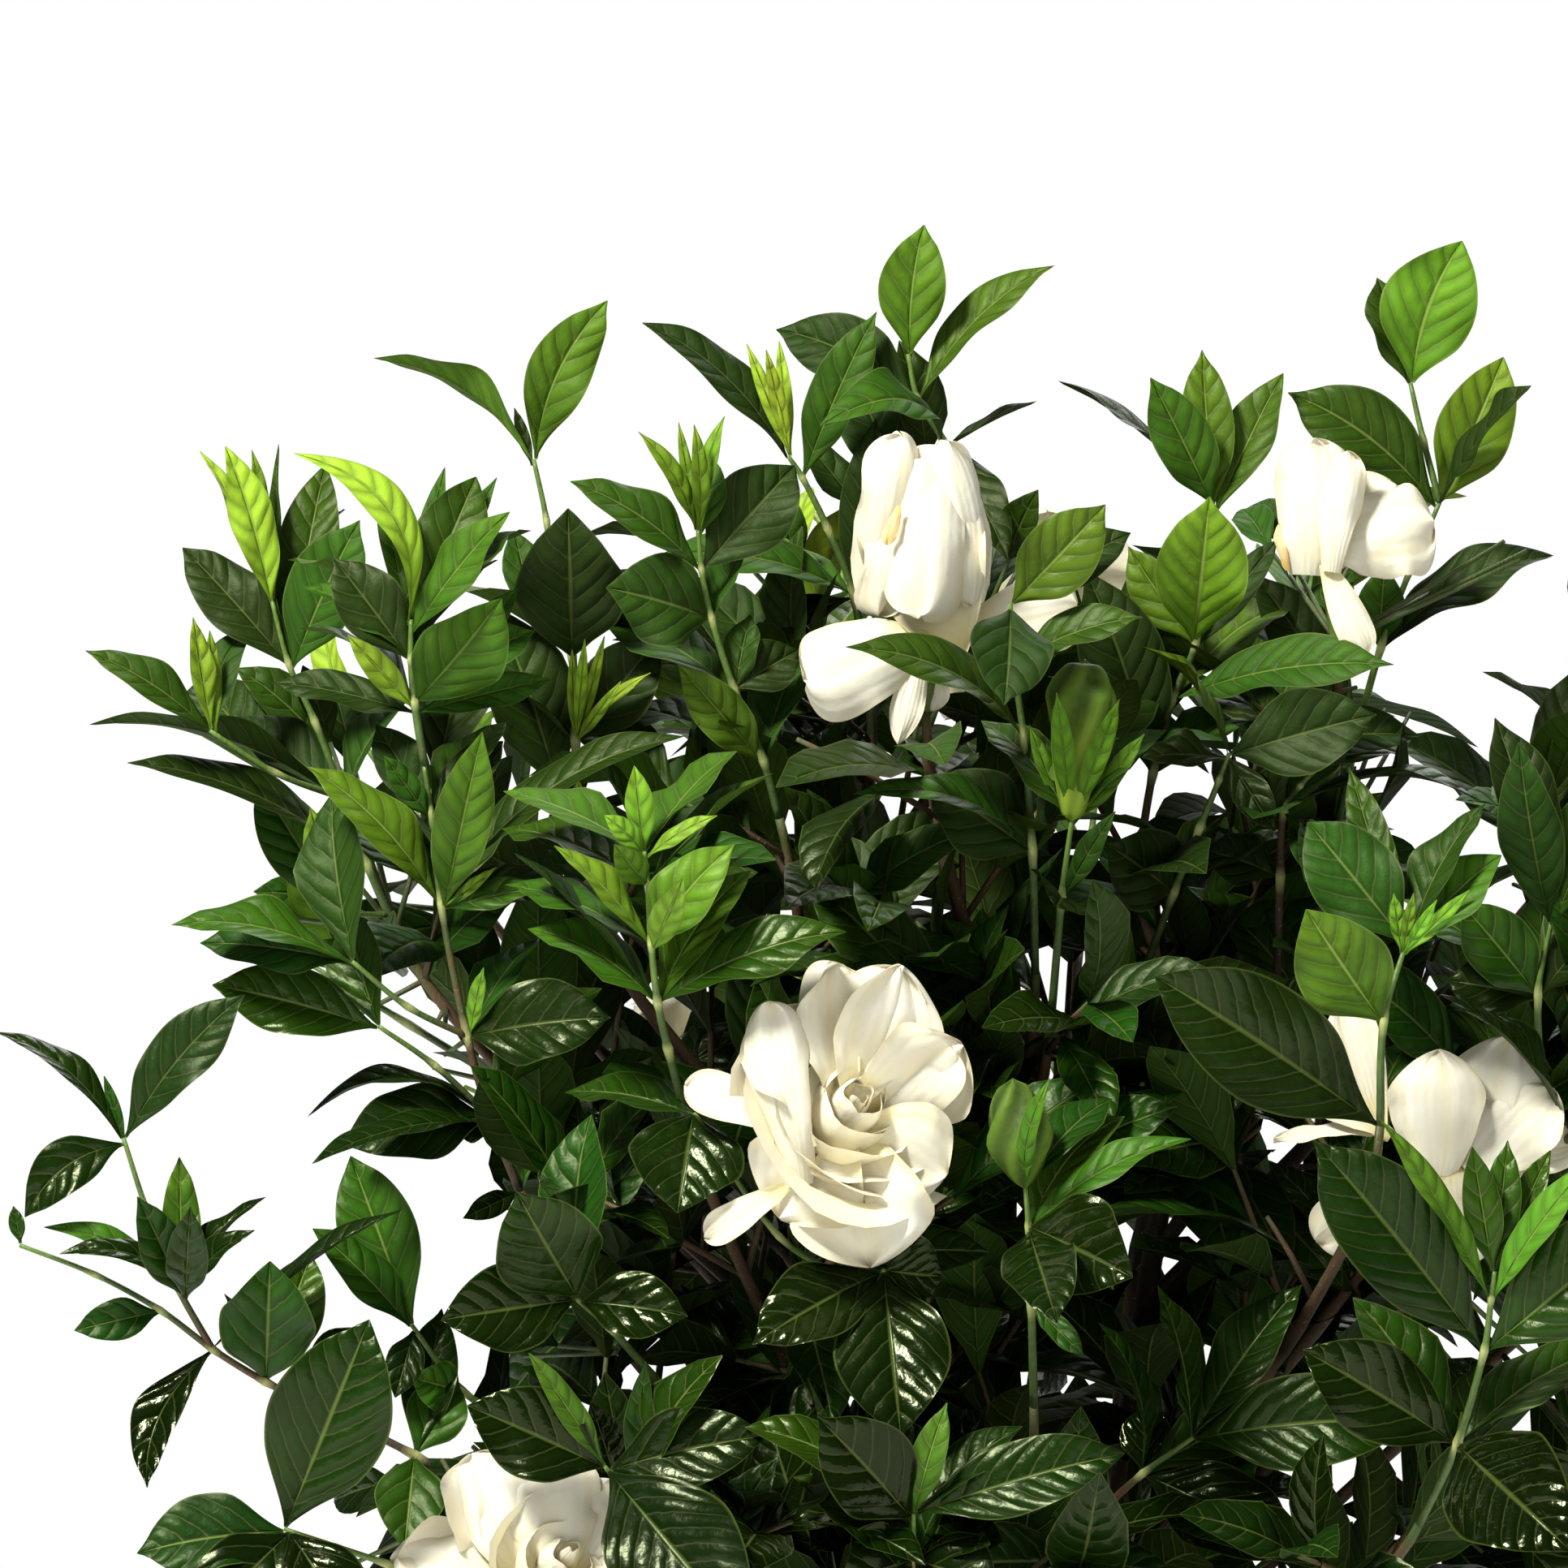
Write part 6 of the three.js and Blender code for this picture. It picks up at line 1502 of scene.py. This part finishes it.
# Whether a leaf stands before or behind the point, seen from the front
def isCovered(point):
    for base, tip, half in leafShadows:
        if min(base.x, tip.x) - half < point.x < max(base.x, tip.x) + half:
            span = Vector((tip.x - base.x, tip.z - base.z))
            off = Vector((point.x - base.x, point.z - base.z))
            part = min(max(off.dot(span) / max(span.length_squared, 1), 0.1), 0.9)
            if (off - span * part).length < half:
                return True
    return False


def growFiller(point, spot, piece, random):
    heading = (point - spot).normalized()
    start = point - heading * fillLook["stalk"]
    if (start - spot).length > 2 and (point - spot).dot(heading) > fillLook["stalk"]:
        growLimb(piece, [spot, start], [1.0, 0.7], [0.45, 0.35], innerLook["sides"], 2)
    normal = squareTo(Vector((0.5 * (random() - 0.5), -1, 0.3 + 0.5 * random())), heading)
    blade = {"base": start, "arch": 0.05 + 0.08 * random(), "fold": leafLook["fold"], "normal": normal,
             "sway": 0}
    full = drawBetween(fillLook["length"], random)
    for part in fillLook["sizes"]:
        size = full * part
        width = fillLook["leafShare"] * size
        blade.update({"tip": start + heading * size, "width": width, "shape": shapeFor(size, width)})
        if fits(blade):
            growLeaf(piece, blade, innerLook["shade"] * random(), random, 9, 4)
            break


random = randomFrom(7000)
spots = [(stem, point) for stem, path in branches for point in path[3:]]
tree = KDTree(len(spots))
for index, (stem, point) in enumerate(spots):
    tree.insert(point, index)
tree.balance()
for height in range(*fillLook["heights"], fillLook["spacing"]):
    for across in range(*fillLook["across"], fillLook["spacing"]):
        point = Vector((across + 6 * random(), 0, height + 6 * random()))
        point.y = drawBetween(fillLook["depth"], random)
        if random() > fillLook["share"] or not isFree(point) or isCovered(point):
            continue
        spot, index, reach = tree.find(point)
        if reach <= fillLook["reach"]:
            growFiller(point, spot, innerPieces[spots[index][0]], random)
for stem, bm in enumerate(innerPieces):
    finishPiece(bm, f"inner_leaves_{stem + 1}", [upperSkin, underSkin, twigSkin], "leaf")
for stem, bm in enumerate(woodPieces):
    finishPiece(bm, f"woody_stem_{stem + 1}_wood", [twigSkin], "bark", f"woody_stem_{stem + 1}")
print("inner leaves made:", len(leafShadows) - outerLeaves)

# Pot: a thrown cone with a rim band and four drain holes
pot = {
    "height": 246, "topRadius": 146, "footRadius": 104, "wall": 7, "floor": 9, "rimHeight": 34,
    "rimOverhang": 8, "steps": 120, "edge": 1.6, "drainHoles": 4, "drainRing": 62, "drainRadius": 6,
}


def wallAt(height):
    return pot["footRadius"] + (pot["topRadius"] - pot["footRadius"]) * height / pot["height"]


def potProfile():
    top, foot, wall, floor = pot["height"], pot["footRadius"], pot["wall"], pot["floor"]
    band, lip = top - pot["rimHeight"], pot["topRadius"] + pot["rimOverhang"]
    return [(0, 1), (foot - 14, 1), (foot - 10, 0), (foot - 3, 0), (wallAt(4), 4), (wallAt(band), band),
            (wallAt(band) + pot["rimOverhang"], band + 3), (lip, top - 3), (lip - 3, top),
            (pot["topRadius"] - wall, top - 2), (wallAt(floor + 8) - wall, floor + 8),
            (wallAt(floor) - wall - 8, floor), (0, floor)]


bm = newPiece()
spinProfile(bm, potProfile(), pot["steps"])
corners = [edge for edge in bm.edges if edge.is_manifold and edge.calc_face_angle() > 0.3
           and edge.verts[0].co.xy.length > 20]
bmesh.ops.bevel(bm, geom=corners, offset=pot["edge"], segments=3, profile=0.5, affect="EDGES", material=-1,
                clamp_overlap=True)
potPiece = finishPiece(bm, "pot_clay", [claySkin], "clay", "pot")
bm = bmesh.new()
for hole in range(pot["drainHoles"]):
    turn = 2 * math.pi * hole / pot["drainHoles"]
    centre = Vector((pot["drainRing"] * math.cos(turn), pot["drainRing"] * math.sin(turn), 0)) * mm
    bmesh.ops.create_cone(bm, cap_ends=True, segments=32, radius1=pot["drainRadius"] * mm,
                          radius2=pot["drainRadius"] * mm, depth=0.05, matrix=Matrix.Translation(centre))
cutter = addObject("drainCutter", meshOf(bm, "drainCutter"))
drain = potPiece.modifiers.new("drain", "BOOLEAN")
drain.object = cutter
drain.operation = "DIFFERENCE"
drain.solver = "EXACT"
drilled = bpy.data.meshes.new_from_object(potPiece.evaluated_get(bpy.context.evaluated_depsgraph_get()))
potPiece.modifiers.remove(drain)
potPiece.data = drilled
bpy.data.objects.remove(cutter)
# Without the slivers that the cut leaves
bm = bmesh.new()
bm.from_mesh(drilled)
bmesh.ops.dissolve_degenerate(bm, dist=0.001 * mm, edges=bm.edges)
bm.to_mesh(drilled)
bm.free()
drilled.set_sharp_from_angle(angle=0.7)
print("pot made")

# Soil: a crumbly surface with bark chips and perlite, mounded a little towards the stems
soil = {"level": 226, "gap": 0.4, "mound": 5, "steps": 144, "rings": 34, "lumps": 1.6, "crumbs": 420,
        "crumbSize": (1.2, 3.4)}


def soilHeight(x, y):
    reach = math.hypot(x, y) / (wallAt(soil["level"]) - pot["wall"])
    spot = Vector((x, y, 0))
    lumps = noise.noise(spot * 0.06) + 0.6 * noise.noise(spot * 0.17) + 0.4 * noise.noise(spot * 0.45)
    mound = soil["mound"] * (1 - reach * reach)
    return soil["level"] + mound + soil["lumps"] * (lumps - 0.4) * (1 - reach ** 8)


bm = newPiece()
foot, rim = pot["floor"] + soil["gap"], wallAt(soil["level"]) - pot["wall"] - soil["gap"]
side = [(0, foot), (wallAt(pot["floor"]) - pot["wall"] - 9, foot),
        (wallAt(pot["floor"] + 9) - pot["wall"] - soil["gap"], pot["floor"] + 9)]
side += [(rim * (1 - ring / soil["rings"]), soil["level"]) for ring in range(soil["rings"] + 1)]
spinProfile(bm, side, soil["steps"])
for vert in bm.verts:
    if vert.co.z > soil["level"] - 1:
        vert.co.z = soilHeight(vert.co.x, vert.co.y)
random = randomFrom(8000)
noise.seed_set(8000)    # else the bumps of the crumbs would differ from run to run
for crumb in range(soil["crumbs"]):
    turn, reach = wholeTurn * random(), rim * 0.97 * math.sqrt(random())
    x, y = reach * math.cos(turn), reach * math.sin(turn)
    size = blend(*soil["crumbSize"], random() ** 2)
    kind = 2 if crumb % 9 == 0 else 1 if crumb % 4 == 0 else 0
    spread = Vector((1.7, 0.9, 0.45)) if kind == 1 else Vector((1, 0.9, 0.75))
    lies = Quaternion((random() - 0.5, random() - 0.5, 0.3), wholeTurn * random()).to_matrix().to_4x4()
    stretched = Matrix.Diagonal((*(spread * size), 1))
    where = Matrix.Translation((x, y, soilHeight(x, y) + 0.25 * size))
    verts = bmesh.ops.create_icosphere(bm, subdivisions=1, radius=1, matrix=where @ lies @ stretched)["verts"]
    for vert in verts:
        vert.co += 0.22 * size * noise.noise_vector(vert.co * 0.9)
    for face in linked(verts, "faces"):
        face.material_index = kind
finishPiece(bm, "soil_crumbs", soilSkins, "soil", "soil")
print("soil made")

# Camera, lights, floor
studio = {
    "frameWidth": 0.483, "middle": (-0.066, -0.1, 0.541), "distance": 8.0,
    "floorColour": (0.86, 0.86, 0.85), "floorRadius": 3.0, "floorFade": (0.7, 2.2), "ambient": 0.3,
    "mirrored": 0.06,
}
camera = addObject("camera", bpy.data.cameras.new("camera"))
camera.data.sensor_width = 36
camera.data.lens = 36 * studio["distance"] / studio["frameWidth"]
camera.location = Vector(studio["middle"]) - Vector((0, studio["distance"], 0))
camera.rotation_euler = (math.pi / 2, 0, 0)
bpy.context.scene.camera = camera


def addLight(name, location, target, size, power, colour=(1, 1, 1)):
    light = bpy.data.lights.new(name, "AREA")
    light.size = size
    light.energy = power
    light.color = colour
    lamp = addObject(name, light)
    lamp.location = location
    lamp.rotation_euler = (Vector(target) - Vector(location)).to_track_quat("-Z", "Y").to_euler()
    return lamp


addLight("keyLight", (-1.2, -1.5, 2.3), (-0.05, -0.05, 0.5), 0.5, 125, (1, 0.985, 0.94))
addLight("fillLight", (1.8, -2.6, 1.2), (-0.05, -0.05, 0.5), 1.8, 18).visible_glossy = False
addLight("backLight", (0.6, 1.8, 2.4), (0, 0, 0.5), 1.2, 34)

world = bpy.data.worlds.new("studioWorld")
bpy.context.scene.world = world
world.use_nodes = True
tree = world.node_tree
background = tree.nodes["Background"]
background.inputs["Color"].default_value = (1, 1, 1, 1)
rays = addNode(tree, "ShaderNodeLightPath").outputs
strength = timesPlus(rays["Is Camera Ray"], 1 - studio["ambient"], studio["ambient"])
dimmed = timesPlus(rays["Is Glossy Ray"], studio["mirrored"] - studio["ambient"], strength)
tree.links.new(dimmed, background.inputs["Strength"])
bpy.context.scene.view_settings.view_transform = "Standard"

bm = bmesh.new()
bmesh.ops.create_circle(bm, cap_ends=True, segments=96, radius=studio["floorRadius"])
floor = addObject("floor", meshOf(bm, "floor"))
material, tree, shader = newMaterial("floorPaint", Roughness=0.8, Base_Color=(*studio["floorColour"], 1))
floor.data.materials.append(material)
# Far off, the camera sees the floor go over into white
spot = addNode(tree, "ShaderNodeTexCoord").outputs["Object"]
away = addNode(tree, "ShaderNodeVectorMath", [spot], operation="LENGTH").outputs["Value"]
seen = addNode(tree, "ShaderNodeLightPath").outputs["Is Camera Ray"]
glow = addNode(tree, "ShaderNodeEmission", {"Color": (1, 1, 1, 1)})
fade = times(stepUp(away, *studio["floorFade"]), seen)
paint = addNode(tree, "ShaderNodeMixShader", [fade, shader.outputs[0], glow.outputs[0]])
tree.links.new(paint.outputs[0], tree.nodes["Material Output"].inputs["Surface"])
